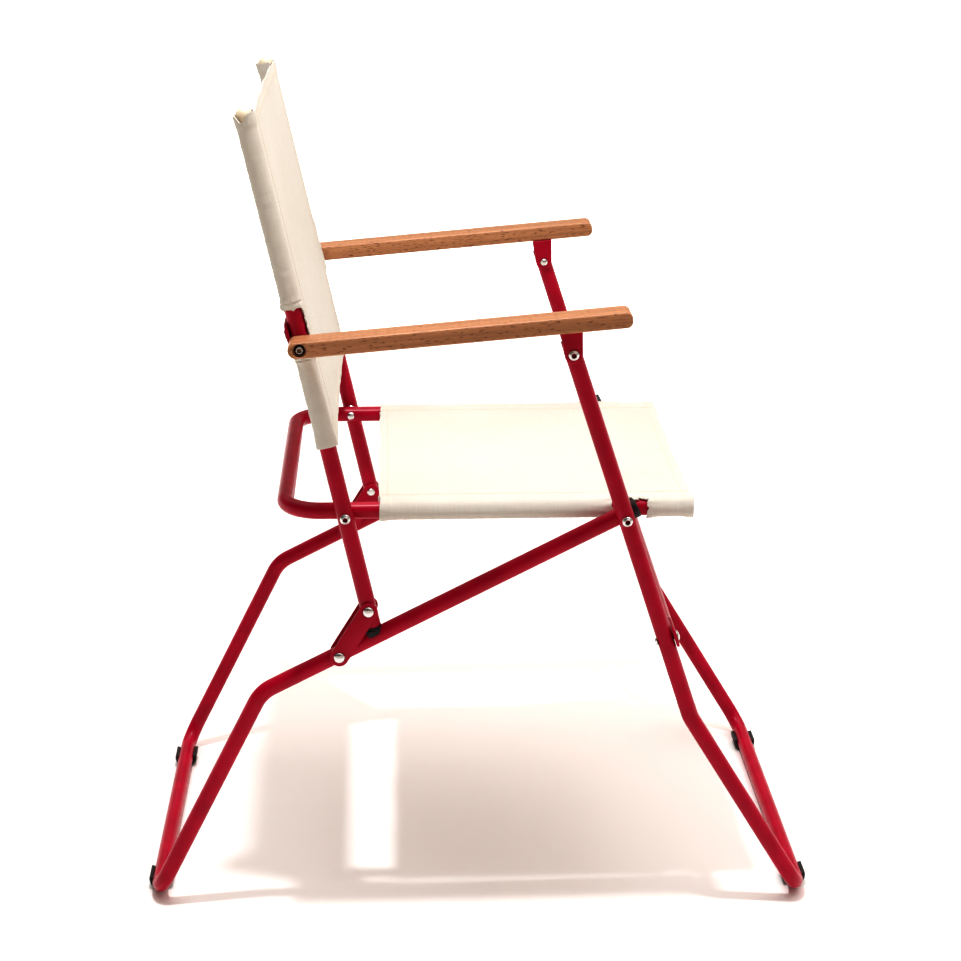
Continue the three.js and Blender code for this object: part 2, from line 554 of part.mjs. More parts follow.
// ================================================================ canvas
// Cross section of a sling: a sleeve round each tube, joined by a sheet tangent to the tubes'
// upper face and sagging between them. u is sideways, v is square to the sheet.
function sling(halfSpan, sag, length) {
  const joinAt = 8;                                     // the sheet leaves the sleeve here
  const top = SLEEVE_OUT;
  const reach = halfSpan - joinAt;
  const drop = (u) => sag * (1 - (u / reach) ** 2);
  const line = (lift, steps) => Array.from({ length: steps + 1 }, (_, i) => {
    const u = -reach + (2 * reach * i) / steps;
    return new THREE.Vector2(u, top - lift - drop(u));
  });
  const under = top - SHEET;
  const from = Math.PI - Math.asin(under / SLEEVE_OUT);
  const rightSleeve = arc(new THREE.Vector2(halfSpan, 0), SLEEVE_OUT, from, 2 * Math.PI + Math.PI / 2, 14);
  const leftSleeve = rightSleeve.map((p) => new THREE.Vector2(-p.x, p.y)).reverse();
  const outline = [...line(SHEET, 10), ...rightSleeve, ...line(0, 10).reverse(), ...leftSleeve];
  const shape = new THREE.Shape(outline);
  shape.holes = [1, -1].map((side) => new THREE.Path(ring(SLEEVE_IN, 14, side * halfSpan, 0)));
  return new THREE.ExtrudeGeometry(shape, { depth: length, steps: 1, bevelEnabled: false });
}
function box(x0, x1, y0, y1, z0, z1) {
  return new THREE.BoxGeometry(x1 - x0, y1 - y0, z1 - z0)
    .translate((x0 + x1) / 2, (y0 + y1) / 2, (z0 + z1) / 2);
}
// Seat: local length runs backwards (+Y), v is up. The notches leave the front pivots clear.
const SEAT_CLOTH_FRONT = RAIL_END + 6;
const SEAT_CLOTH_REAR = D.x + SEAT_CLOTH_BEHIND;
{
  const length = SEAT_CLOTH_FRONT - SEAT_CLOTH_REAR;
  const notch = [C.x - NOTCH_BELOW, C.x + NOTCH_PAST];
  const cloth = sling(SEAT_X, SEAT_SAG, length);
  const tools = [1, -1].map((side) => {
    const x = [side * (SEAT_X - NOTCH_REACH), side * (SEAT_X + NOTCH_REACH)].sort((a, b) => a - b);
    return box(x[0], x[1], -NOTCH_REACH, SLEEVE_IN, SEAT_CLOTH_FRONT - notch[1], SEAT_CLOTH_FRONT - notch[0]);
  });
  const shaped = cut(cloth, ...tools);
  shaped.applyMatrix4(new THREE.Matrix4().makeBasis(new THREE.Vector3(-1, 0, 0),
    new THREE.Vector3(0, 0, 1), new THREE.Vector3(0, 1, 0)));
  add('seat_fabric', shaped.translate(0, -SEAT_CLOTH_FRONT, SEAT_HEIGHT), canvas);
}
// Back: local length runs up the tubes, v is towards the sitter. The notches leave the arm
// pivots and the rung's ends clear.
{
  const notch = [BACK_ARM_PIVOT - NOTCH_BELOW, BACK_RUNG + NOTCH_PAST];
  const cloth = sling(REAR_X, BACK_SAG, BACK_CLOTH_TOP - BACK_CLOTH_BOTTOM);
  const tools = [1, -1].map((side) => {
    const x = [side * (REAR_X - NOTCH_REACH), side * (REAR_X + NOTCH_REACH)].sort((a, b) => a - b);
    const [from, to] = notch.map((distance) => distance - BACK_CLOTH_BOTTOM);
    return box(x[0], x[1], -NOTCH_REACH, SLEEVE_IN, from, to);
  });
  const shaped = cut(cloth, ...tools);
  shaped.applyMatrix4(new THREE.Matrix4().makeBasis(new THREE.Vector3(-1, 0, 0),
    heading(backFront), heading(backUp)));
  const start = at(0, along(D, backUp, BACK_CLOTH_BOTTOM));
  add('back_fabric', shaped.translate(start.x, start.y, start.z), canvas);
}

// The feet stand evenly either side of the origin.
chair.position.y = (FRONT_F.x + REAR_F.x) / 2;
export default chair;
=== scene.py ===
"""Looks of the folding armchair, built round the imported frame.

Metres, +Z up, the chair faces -Y and the sitter's left is +X. A, B, C, D, E and F are the
pivots of the side linkage, held at x = 0; off(p, x) moves a point sideways.
"""
import json
import math

import bmesh
import bpy
import numpy as np
from mathutils import Matrix, Vector


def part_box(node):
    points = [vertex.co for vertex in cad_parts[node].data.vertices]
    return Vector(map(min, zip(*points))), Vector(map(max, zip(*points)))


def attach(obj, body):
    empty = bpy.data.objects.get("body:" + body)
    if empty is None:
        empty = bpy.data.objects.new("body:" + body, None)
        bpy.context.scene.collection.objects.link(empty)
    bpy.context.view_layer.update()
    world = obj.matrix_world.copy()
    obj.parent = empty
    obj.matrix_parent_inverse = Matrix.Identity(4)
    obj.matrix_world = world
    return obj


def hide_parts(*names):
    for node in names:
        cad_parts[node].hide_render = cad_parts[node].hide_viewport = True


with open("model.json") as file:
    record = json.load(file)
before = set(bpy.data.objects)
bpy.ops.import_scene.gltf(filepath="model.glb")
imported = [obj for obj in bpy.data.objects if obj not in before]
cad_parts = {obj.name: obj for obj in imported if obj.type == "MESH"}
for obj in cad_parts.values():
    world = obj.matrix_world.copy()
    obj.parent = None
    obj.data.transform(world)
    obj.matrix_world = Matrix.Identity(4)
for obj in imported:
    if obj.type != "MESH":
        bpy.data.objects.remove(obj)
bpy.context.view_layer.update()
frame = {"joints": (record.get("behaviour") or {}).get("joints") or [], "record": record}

# ---- sizes
TUBE_R = 0.008
TUBE_WALL = 0.0012
TUBE_RIM = 0.00035           # how far a tube's cut edges are eased
BORE = TUBE_R - TUBE_WALL - 0.0001      # a plug's shank in a tube
GAP = 0.0003                 # between touching pieces
BOLT_R = 0.003
RIVET_R = 0.0054
PAD_THICK = 0.003
PAD_BULGE = 0.0007
ARM_THICK = 0.015
ARM_DROP = 0.031             # arm centre line down to B
ARM_BEHIND = 0.0108          # arm behind A
ARM_AHEAD = 0.0553           # arm in front of the foot of B on it
ARM_SINK = 0.004             # depth of the hole that its rear bolt sits in
LINK_THICK = 0.0024
LINK_R = 0.009
BRACKET_HALF = 0.010
BRACKET_THICK = 0.0012
RUNG_FLAT = 0.0017           # half thickness of a rung's flat end
RUNG_WIDE = 0.011            # and its half width
WASHER_R = 0.007
FRONT_TIP = 0.013            # front leg past B
REAR_TIP = 0.0105            # rear leg past C
PLUG_DOWN = 0.0178           # E down to the back post's lower end
FLOOR_BEND = 0.026           # bend radii of the tubes' centre lines
FRONT_BEND = 0.045
REAR_BEND = 0.038
SEAT_BEND = 0.036
CLOTH = 0.0012
NOTCH_LONG = 0.023           # how far a canvas notch reaches past what it clears
NOTCH_SHORT = 0.011
SIDES = (("left", 1), ("right", -1))
X_AXIS = Vector((1, 0, 0))

# ---- places, from the frame
JOINTS = {j["name"]: Vector(j["pos_m"]) for j in frame["joints"]}
BODY_OF = {n: b for b, names in frame["record"]["behaviour"]["bodies"].items() for n in names}
SLOT_OF = {s["node"]: s["material_slot"] for s in frame["record"]["subparts"]}


def middle(cad_node):
    lo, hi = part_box(cad_node)
    return (lo + hi) / 2


def off(p, x):
    return Vector((x, p.y, p.z))


def square(d):
    """A side-plane direction turned a quarter; an upward one turns to the front."""
    return Vector((0, -d.z, d.y))


C = off(JOINTS["front_leg_fold"], 0)
B = off(JOINTS["arm_left_fold"], 0)
D = off(JOINTS["back_fold"], 0)
E = off(JOINTS["link_left_fold"], 0)
F = off(JOINTS["rear_leg_fold"], 0)
A = off(middle("arm_washer_left"), 0)
FRONT_X = JOINTS["arm_left_fold"].x
REAR_X = JOINTS["link_left_fold"].x
SEAT_X = middle("seat_rail_cap_left").x
ARM_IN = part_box("arm_left")[0].x
ARM_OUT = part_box("arm_left")[1].x

front_up = (B - C).normalized()
rear_down = (F - C).normalized()
back_up = (D - E).normalized()
back_face = square(back_up)
slope = math.asin(ARM_DROP / (B - A).length)
arm_dir = Matrix.Rotation(-slope, 3, "X") @ (B - A).normalized()
arm_up = square(arm_dir) * -1
b_on_arm = (B - A).dot(arm_dir)      # how far along the arm B is
# 1 if turning from arm_dir towards arm_up is a positive turn in the side plane, else -1
arm_turn = 1 if arm_dir.y * arm_up.z - arm_dir.z * arm_up.y > 0 else -1

# points on the tubes' centre lines, each a measured distance along its tube from a pivot
FLOOR_BAR = Vector((0, 0, TUBE_R + PAD_THICK))
FRONT_KNEE = C - front_up * 0.2134
FRONT_FOOT = off(middle("front_foot_pad_left"), 0).project(Vector((0, 1, 0))) + FLOOR_BAR
REAR_KNEE = F + rear_down * 0.086
REAR_FOOT = off(middle("rear_foot_pad_left"), 0).project(Vector((0, 1, 0))) + FLOOR_BAR
RAIL_END = Vector((0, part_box("seat_frame")[0].y, C.z))
RAIL_REAR = D + Vector((0, 0.0585, 0))
BACK_TOP = D + back_up * 0.381
BACK_FOOT = E - back_up * PLUG_DOWN
FRONT_RUNG = C - front_up * 0.128
BACK_RUNG = D + back_up * 0.184


# ---- materials
WEAVE_PITCH = 0.00085        # between neighbouring threads of the canvas
SLUB_LENGTH = 60             # slubs to the metre along a thread
CANVAS_SHADE = (0.76, 0.735, 0.68)
WHITE = (1, 1, 1)
BLACK = (0, 0, 0)


def material(name):
    mat = bpy.data.materials.new(name)
    mat.use_nodes = True
    tree = mat.node_tree
    return mat, tree, tree.nodes["Principled BSDF"]


def plug(tree, socket, value):
    """Feeds a socket with another node's output, or sets its value."""
    if isinstance(value, bpy.types.NodeSocket):
        tree.links.new(value, socket)
    else:
        socket.default_value = value


def node(tree, kind, inputs=None, **settings):
    """A node with its settings and inputs; an input's value may be another node's output."""
    made = tree.nodes.new(kind)
    for key, value in settings.items():
        setattr(made, key, value)
    dress(tree, made, inputs or {})
    return made


def dress(tree, made, inputs):
    for key, value in inputs.items():
        plug(tree, made.inputs[key], value)


def stretched(tree, scale, turn=(0, 0, 0)):
    """Object coordinates for a texture: turned, then scaled by its own amount on each axis."""
    coords = node(tree, "ShaderNodeTexCoord").outputs["Object"]
    rotated = node(tree, "ShaderNodeMapping", {"Vector": coords, "Rotation": turn}).outputs[0]
    return node(tree, "ShaderNodeMapping", {"Vector": rotated, "Scale": scale}).outputs[0]


def noise(tree, vector, scale=1.0, detail=2.0, roughness=0.5):
    return node(tree, "ShaderNodeTexNoise", {
        "Vector": vector, "Scale": scale, "Detail": detail, "Roughness": roughness}).outputs["Fac"]


def speckle(tree, scale, detail=2.0, roughness=0.5):
    """Noise on the object's own coordinates, with about scale spots to the metre."""
    return noise(tree, stretched(tree, (1, 1, 1)), scale, detail, roughness)


def ramp(tree, value, *stops):
    made = node(tree, "ShaderNodeValToRGB", {"Fac": value})
    elements = made.color_ramp.elements
    while len(elements) < len(stops):
        elements.new(0.5)
    for element, (place, color) in zip(elements, stops):
        element.position = place
        element.color = (*color, 1)
    return made.outputs["Color"]


def opaque(color):
    return color if isinstance(color, bpy.types.NodeSocket) else (*color, 1)


def mixed(tree, factor, a, b, blend="MIX"):
    """Two colours mixed; the node's colour sockets are its seventh and eighth inputs."""
    return node(tree, "ShaderNodeMix", {0: factor, 6: opaque(a), 7: opaque(b)},
                data_type="RGBA", blend_type=blend).outputs[2]


def maths(tree, operation, a, b=0.0):
    return node(tree, "ShaderNodeMath", {0: a, 1: b}, operation=operation).outputs[0]


def graded(tree, value, low, high):
    """A value from 0 to 1 set to run from low to high."""
    return node(tree, "ShaderNodeMapRange", {
        "Value": value, "To Min": low, "To Max": high}).outputs[0]


def eased(tree, value, start, end, low=0.0, high=1.0):
    """low up to start, high from end on, and a soft step between them."""
    return node(tree, "ShaderNodeMapRange", {
        "Value": value, "From Min": start, "From Max": end, "To Min": low, "To Max": high},
        interpolation_type="SMOOTHSTEP").outputs[0]


def bumped(tree, shader, height, distance, strength=1.0, under=None):
    bump = node(tree, "ShaderNodeBump", {
        "Height": height, "Distance": distance, "Strength": strength})
    if under:
        tree.links.new(under, bump.inputs["Normal"])
    tree.links.new(bump.outputs[0], shader.inputs["Normal"])
    return bump.outputs[0]


def make_paint():
    """Stove-enamelled steel: crimson, slightly uneven, with a fine orange-peel surface."""
    mat, tree, shader = material("crimson_enamel")
    tone = ramp(tree, speckle(tree, 35, 3), (0.3, (0.39, 0.0025, 0.033)),
                (0.7, (0.48, 0.0035, 0.043)))
    dusty = ramp(tree, speckle(tree, 1500, 1), (0.70, BLACK), (0.80, WHITE))
    share = maths(tree, "MULTIPLY", dusty, 0.12)
    dress(tree, shader, {
        "Base Color": mixed(tree, share, tone, (0.55, 0.12, 0.12)),
        "Roughness": graded(tree, speckle(tree, 90, 4), 0.24, 0.38),
        "Specular IOR Level": 0.24})
    bumped(tree, shader, speckle(tree, 900, 2), 0.00002)
    return mat


def make_beech():
    """Lacquered beech: straight grain along the arm, soft growth bands, short dark flecks."""
    mat, tree, shader = material("beech")
    turn = (-math.atan2(arm_dir.z, arm_dir.y) + math.pi, 0, 0)
    bands = noise(tree, stretched(tree, (90, 2.2, 140), turn), 1, 4, 0.6)
    fibres = noise(tree, stretched(tree, (1400, 26, 1400), turn), 1, 3, 0.7)
    flecks = noise(tree, stretched(tree, (1500, 170, 900), turn), 1, 0)
    tone = ramp(tree, bands, (0.30, (0.41, 0.188, 0.088)), (0.52, (0.54, 0.265, 0.132)),
                (0.75, (0.65, 0.345, 0.178)))
    streaks = ramp(tree, fibres, (0.35, (0.45, 0.40, 0.36)), (0.65, WHITE))
    tone = mixed(tree, 0.35, tone, streaks, "MULTIPLY")
    dark = ramp(tree, flecks, (0.655, BLACK), (0.70, WHITE))
    share = maths(tree, "MULTIPLY", dark, 0.75)
    dress(tree, shader, {
        "Base Color": mixed(tree, share, tone, (0.20, 0.075, 0.030)),
        "Roughness": graded(tree, fibres, 0.36, 0.52),
        "Coat Weight": 0.12, "Coat Roughness": 0.3})
    bumped(tree, shader, maths(tree, "SUBTRACT", fibres, dark), 0.00006)
    return mat


def plain_weave(tree, uv):
    """Height of a plain weave: at each crossing one thread is over the other, in turn."""
    scale = (1 / WEAVE_PITCH, 1 / WEAVE_PITCH, 1)
    threads = node(tree, "ShaderNodeMapping", {"Vector": uv, "Scale": scale})
    axes = node(tree, "ShaderNodeSeparateXYZ", {"Vector": threads.outputs[0]}).outputs[:2]
    turns = [maths(tree, "MULTIPLY", axis, math.pi) for axis in axes]
    warp, weft = (maths(tree, "ABSOLUTE", maths(tree, "SINE", turn)) for turn in turns)
    cells = maths(tree, "ADD", *(maths(tree, "FLOOR", axis) for axis in axes))
    odd = maths(tree, "ABSOLUTE", maths(tree, "MODULO", cells, 2.0))
    over = maths(tree, "MULTIPLY", warp, odd)
    under = maths(tree, "MULTIPLY", weft, maths(tree, "SUBTRACT", 1.0, odd))
    return maths(tree, "ADD", over, under)


def slubs(tree, uv):
    """Thicker and thinner stretches along the threads, both ways of the cloth."""
    both = [node(tree, "ShaderNodeMapping", {"Vector": uv, "Scale": scale}).outputs[0]
            for scale in ((1 / WEAVE_PITCH, SLUB_LENGTH, 1), (SLUB_LENGTH, 1 / WEAVE_PITCH, 1))]
    total = maths(tree, "ADD", *(noise(tree, vector, 1, 3) for vector in both))
    return maths(tree, "MULTIPLY", total, 0.5)


def make_canvas():
    """Unbleached plain-weave canvas; the weave follows the cloth's own coordinates."""
    mat, tree, shader = material("unbleached_canvas")
    uv = node(tree, "ShaderNodeUVMap", uv_map="cloth").outputs[0]
    weave = plain_weave(tree, uv)
    uneven = slubs(tree, uv)
    tone = ramp(tree, uneven, (0.34, tuple(c * 0.93 for c in CANVAS_SHADE)),
                (0.50, CANVAS_SHADE), (0.68, tuple(min(1, c * 1.04) for c in CANVAS_SHADE)))
    # painted shade: the colour darkens in the weave's low points between the threads
    weave_pit_shade = ramp(tree, weave, (0.0, (0.62, 0.55, 0.46)), (0.6, WHITE))
    soiling = ramp(tree, speckle(tree, 9, 3), (0.3, (0.93, 0.91, 0.88)), (0.7, WHITE))
    color = mixed(tree, 0.30, tone, weave_pit_shade, "MULTIPLY")
    dress(tree, shader, {
        "Base Color": mixed(tree, 0.5, color, soiling, "MULTIPLY"),
        "Roughness": 0.95, "Specular IOR Level": 0.15,
        "Sheen Weight": 0.15, "Sheen Roughness": 0.5})
    fuzz = bumped(tree, shader, uneven, 0.0002, 0.4)
    bumped(tree, shader, weave, 0.00022, 0.8, fuzz)
    return mat


def make_thread():
    mat, tree, shader = material("sewing_thread")
    twist = speckle(tree, 4000, 1)
    dress(tree, shader, {
        "Base Color": ramp(tree, twist, (0.3, (0.62, 0.52, 0.38)), (0.7, (0.86, 0.78, 0.64))),
        "Roughness": 0.7})
    bumped(tree, shader, twist, 0.00008)
    return mat


def make_rubber():
    mat, tree, shader = material("black_rubber")
    grain = speckle(tree, 1200, 3)
    tone = ramp(tree, speckle(tree, 60, 3), (0.35, (0.010, 0.009, 0.010)),
                (0.7, (0.028, 0.025, 0.026)))
    dress(tree, shader, {"Base Color": tone, "Roughness": graded(tree, grain, 0.45, 0.7)})
    bumped(tree, shader, grain, 0.00005)
    return mat


def make_steel():
    """Bright plated steel, with painted shade darkening its recesses."""
    mat, tree, shader = material("bright_plated_steel")
    rubbed = speckle(tree, 700, 4, 0.7)
    bright = ramp(tree, rubbed, (0.3, (0.60, 0.60, 0.61)), (0.7, (0.84, 0.84, 0.83)))
    # painted shade: ambient occlusion darkens the colour in sockets and crevices
    exposed = node(tree, "ShaderNodeAmbientOcclusion", {"Distance": 0.004}).outputs["AO"]
    painted_recess_shade = ramp(tree, exposed, (0.6, (0.01, 0.01, 0.01)), (0.92, WHITE))
    dress(tree, shader, {
        "Base Color": mixed(tree, 1.0, bright, painted_recess_shade, "MULTIPLY"),
        "Metallic": 1.0,
        "Roughness": graded(tree, rubbed, 0.12, 0.34)})
    bumped(tree, shader, rubbed, 0.00002)
    return mat


def make_cream_plastic():
    mat, tree, shader = material("cream_plastic")
    tone = ramp(tree, speckle(tree, 220, 3), (0.3, (0.70, 0.60, 0.44)), (0.7, (0.80, 0.72, 0.57)))
    dress(tree, shader, {
        "Base Color": tone, "Roughness": 0.42,
        "Subsurface Weight": 0.08, "Subsurface Radius": (0.002, 0.0015, 0.001)})
    bumped(tree, shader, speckle(tree, 1500, 2), 0.00003)
    return mat


MATERIALS = {
    "frame_red": make_paint(),
    "beech": make_beech(),
    "canvas": make_canvas(),
    "black_rubber": make_rubber(),
    "steel": make_steel(),
    "cream_plastic": make_cream_plastic(),
}
THREAD = make_thread()


# ---- mesh building
def add_object(name, data):
    obj = bpy.data.objects.new(name, data)
    bpy.context.scene.collection.objects.link(obj)
    return obj


def mesh_object(name, verts, faces, sharp=35):
    mesh = bpy.data.meshes.new(name)
    mesh.from_pydata([tuple(v) for v in verts], [], [tuple(f) for f in faces])
    edit_mesh(mesh, face_outwards)
    obj = add_object(name, mesh)
    shade(obj, sharp)
    return obj


def edit_mesh(mesh, change):
    bm = bmesh.new()
    bm.from_mesh(mesh)
    change(bm)
    bm.to_mesh(mesh)
    bm.free()


def face_outwards(bm):
    bmesh.ops.recalc_face_normals(bm, faces=bm.faces)


def drop_loose(bm):
    """Deletes the points that no face uses."""
    loose = [vert for vert in bm.verts if not vert.link_faces]
    bmesh.ops.delete(bm, geom=loose, context="VERTS")


def shade(obj, sharp):
    obj.data.shade_smooth()
    obj.data.set_sharp_from_angle(angle=math.radians(sharp))


def settle(obj):
    """Applies the object's modifiers to its mesh."""
    graph = bpy.context.evaluated_depsgraph_get()
    mesh = bpy.data.meshes.new_from_object(obj.evaluated_get(graph))
    obj.modifiers.clear()
    obj.data = mesh


def carve(obj, cutter, sharp=35):
    """Cuts the cutter's shape out of obj and removes the cutter."""
    modifier = obj.modifiers.new("cut", "BOOLEAN")
    modifier.operation = "DIFFERENCE"
    modifier.solver = "EXACT"
    modifier.object = cutter
    settle(obj)
    bpy.data.objects.remove(cutter)
    shade(obj, sharp)
    return obj


def stand_in(obj, cad_node):
    """obj is the finished form of a CAD node: it takes its place, body, slot and material."""
    obj.data.materials.clear()
    obj.data.materials.append(MATERIALS[SLOT_OF[cad_node]])
    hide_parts(cad_node)
    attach(obj, BODY_OF[cad_node])
    return obj


def rounded_path(corners, radii, steps=10):
    """(point, tangent) stations along a path whose corners are rounded to arcs."""
    stations = [(corners[0], (corners[1] - corners[0]).normalized())]
    for before, corner, after, radius in zip(corners, corners[1:], corners[2:], radii[1:]):
        into = (corner - before).normalized()
        out = (after - corner).normalized()
        turn = into.angle(out)
        axis = into.cross(out).normalized()
        start = corner - into * (radius * math.tan(turn / 2))
        centre = start + axis.cross(into) * radius
        for k in range(steps + 1):
            rot = Matrix.Rotation(turn * k / steps, 3, axis)
            stations.append((centre + rot @ (start - centre), rot @ into))
    return stations + [(corners[-1], (corners[-1] - corners[-2]).normalized())]


def frames_along(stations):
    """Adds a pair of cross directions that doesn't twist to each station."""
    normal = X_AXIS if abs(stations[0][1].x) < 0.9 else Vector((0, 0, 1))
    result = []
    for point, tangent in stations:
        normal = (normal - tangent * normal.dot(tangent)).normalized()
        result.append((point, normal, tangent.cross(normal), tangent))
    return result


def band(a, b, sides):
    """Faces between two rings of points, which start at a and b."""
    return [(a + k, a + (k + 1) % sides, b + (k + 1) % sides, b + k) for k in range(sides)]


def tube_rings(path):
    """(station, radius) rings: along the outside, over the far rim and back inside."""
    first, last = path[0], path[-1]
    start = (first[0] + first[3] * TUBE_RIM, *first[1:])
    end = (last[0] - last[3] * TUBE_RIM, *last[1:])
    inner = TUBE_R - TUBE_WALL
    rings = [(first, TUBE_R - TUBE_RIM), (start, TUBE_R)] + [(s, TUBE_R) for s in path[1:-1]]
    rings += [(end, TUBE_R), (last, TUBE_R - TUBE_RIM), (last, inner)]
    return rings + [(s, inner) for s in reversed(path[1:-1])] + [(first, inner)]


def tube(name, corners, radii=(), sides=28):
    """A hollow tube with softened rims along a rounded path."""
    path = frames_along(rounded_path(corners, list(radii) + [0] * len(corners)))
    rings = tube_rings(path)
    verts, faces = [], []
    for (point, across, other, _), radius in rings:
        for k in range(sides):
            angle = 2 * math.pi * k / sides
            verts.append(point + (across * math.cos(angle) + other * math.sin(angle)) * radius)
    for i in range(len(rings)):
        faces += band(i * sides, (i + 1) % len(rings) * sides, sides)
    return mesh_object(name, verts, faces)


def turned(name, profile, point, direction, sides=36, sharp=35):
    """A lathe-turned piece: (radius, height) pairs that start and end on the axis."""
    turn = Vector((0, 0, 1)).rotation_difference(direction.normalized())
    verts, faces, rings = [], [], []
    for radius, height in profile:
        count = 1 if radius < 1e-7 else sides
        rings.append((len(verts), count))
        for k in range(count):
            angle = 2 * math.pi * k / sides
            local = Vector((radius * math.cos(angle), radius * math.sin(angle), height))
            verts.append(point + turn @ local)
    for (a, na), (b, nb) in zip(rings, rings[1:]):
        for k in range(sides):
            n = (k + 1) % sides
            face = [a + k % na, a + n % na, b + n % nb, b + k % nb]
            faces.append(tuple(dict.fromkeys(face)))
    return mesh_object(name, verts, faces, sharp)


def fit(name, cad_node, profile, point, direction, sides=36):
    """A turned piece that stands in for a CAD node."""
    stand_in(turned(name, profile, point, direction, sides), cad_node)


def dome(radius, base, height, steps=7):
    """Profile points of a round head, from its rim to its crown."""
    return [(radius * math.cos(t), base + height * math.sin(t))
            for t in (math.pi / 2 * k / steps for k in range(steps + 1))]


def plate(name, outline, x0, x1, soft=0.0004, segments=3):
    """A side-plane outline given thickness along X, with its rims softened."""
    bm = bmesh.new()
    face = bm.faces.new([bm.verts.new(off(p, x0)) for p in outline])
    extruded = bmesh.ops.extrude_face_region(bm, geom=[face])["geom"]
    moved = [g for g in extruded if isinstance(g, bmesh.types.BMVert)]
    bmesh.ops.translate(bm, verts=moved, vec=(x1 - x0, 0, 0))
    bmesh.ops.recalc_face_normals(bm, faces=bm.faces)
    rims = [e for e in bm.edges if abs(e.verts[0].co.x - e.verts[1].co.x) < 1e-7]
    bmesh.ops.bevel(bm, geom=rims, offset=soft, segments=segments, profile=0.5,
                    affect="EDGES", clamp_overlap=True)
    mesh = bpy.data.meshes.new(name)
    bm.to_mesh(mesh)
    bm.free()
    obj = add_object(name, mesh)
    shade(obj, 30)
    return obj


def arc(centre, radius, start, end, steps=16):
    """Side-plane points round a centre; 0 points to +Y and a quarter turn to +Z."""
    return [centre + Vector((0, math.cos(t), math.sin(t))) * radius
            for t in (start + (end - start) * k / steps for k in range(steps + 1))]


def heading(d):
    """The angle of a side-plane direction, as arc counts it."""
    return math.atan2(d.z, d.y)


# ---- frames
def u_frame(name, half, width, radii):
    """A bent tube: half in the right side plane, and its mirror image in the left one."""
    corners = [off(p, -width) for p in half] + [off(p, width) for p in reversed(half)]
    stand_in(tube(name + "_tube", corners, radii), name)


def build_frames():
    u_frame("front_frame", [B + front_up * FRONT_TIP, FRONT_KNEE, FRONT_FOOT], FRONT_X,
            (0, FRONT_BEND, FLOOR_BEND, FLOOR_BEND, FRONT_BEND))
    u_frame("rear_frame", [C - rear_down * REAR_TIP, REAR_KNEE, REAR_FOOT], REAR_X,
            (0, REAR_BEND, FLOOR_BEND, FLOOR_BEND, REAR_BEND))
    u_frame("seat_frame", [RAIL_END, RAIL_REAR], SEAT_X, (0, SEAT_BEND, SEAT_BEND))
    for side, sign in SIDES:
        x = sign * REAR_X
        stand_in(tube(f"back_post_{side}", [off(BACK_FOOT, x), off(BACK_TOP, x)]),
                 f"back_tube_{side}")


def rung(name, half, centre, wide, thick, leg_side, sides=32):
    """A round rung whose ends are pressed flat, with rounded tips.

    leg_side is 1 if the round part bulges along thick from the flat ends, -1 if against it.
    """
    flat_end, taper, tip, tip_loss = half - 0.027, 0.022, 0.007, 0.55
    xs = [half - tip + tip * math.sin(math.pi / 2 * k / 6) for k in range(7)]
    xs = [0.0, flat_end - taper] + [flat_end - taper + taper * k / 10 for k in range(1, 11)] + xs
    xs = [-x for x in reversed(xs[1:])] + xs
    verts, faces = [], []
    for x in xs:
        t = min(1.0, max(0.0, (flat_end - abs(x)) / taper))
        t = t * t * (3 - 2 * t)
        past = max(0.0, (abs(x) - (half - tip)) / tip)
        narrow = 1 - tip_loss * (1 - math.sqrt(max(0.0, 1 - past * past)))
        a = (RUNG_WIDE + (TUBE_R - RUNG_WIDE) * t) * narrow
        b = RUNG_FLAT + (TUBE_R - RUNG_FLAT) * t
        power = 0.5 + 0.5 * t
        for k in range(sides):
            angle = 2 * math.pi * (k + 0.5) / sides
            cos, sin = math.cos(angle), math.sin(angle)
            y = a * math.copysign(abs(cos) ** power, cos)
            z = b * math.copysign(abs(sin) ** power, sin) + leg_side * (TUBE_R - RUNG_FLAT) * t
            verts.append(centre + X_AXIS * x + wide * y + thick * z)
    for i in range(len(xs) - 1):
        faces += band(i * sides, (i + 1) * sides, sides)
    faces += [tuple(range(sides)), tuple(range((len(xs) - 1) * sides, len(xs) * sides))]
    return mesh_object(name, verts, faces, 50)


def build_rungs():
    front_face = square(front_up)
    reach = TUBE_R + GAP + RUNG_FLAT
    stand_in(rung("front_rung", FRONT_X + TUBE_R, FRONT_RUNG + front_face * reach,
                  front_up, front_face, -1), "front_stretcher")
    stand_in(rung("back_rung", REAR_X + TUBE_R, BACK_RUNG - back_face * reach,
                  back_up, back_face, 1), "back_stretcher")
    head = reach + RUNG_FLAT
    back = -TUBE_R - GAP
    inside = 0.003 - TUBE_R
    for side, sign in SIDES:
        both_ends = [(0, back - 0.002), (0.003, back - 0.0016), (0.0042, back),
                     (BOLT_R, back), (BOLT_R, head)]
        fit(f"front_rung_rivet_{side}", f"front_stretcher_rivet_{side}",
            both_ends + dome(0.0052, head, 0.0024), off(FRONT_RUNG, sign * FRONT_X), front_face)
        one_end = [(0, inside), (BOLT_R, inside), (BOLT_R, head)]
        fit(f"back_rung_rivet_{side}", f"back_stretcher_rivet_{side}",
            one_end + dome(0.0046, head, 0.0024), off(BACK_RUNG, sign * REAR_X), back_face * -1)


# ---- rubber and plastic
FIT_R = TUBE_R + 0.0001      # the inside of rubber on a tube
PLUG_DEPTH = 0.008


def saddle(name, foot, x0, x1):
    """Rubber round the underside of a floor bar, with a flat sole."""
    outer = TUBE_R + PAD_THICK + PAD_BULGE
    down = -math.pi / 2
    wrap = math.radians(105)
    flat = math.acos((TUBE_R + PAD_THICK) / outer)
    outline = arc(foot, FIT_R, down + wrap, down - wrap, 40)
    outline += arc(foot, outer, down - wrap, down - flat, 16)
    outline += arc(foot, outer, down + flat, down + wrap, 16)
    return plate(name, outline, x0, x1, 0.0007)


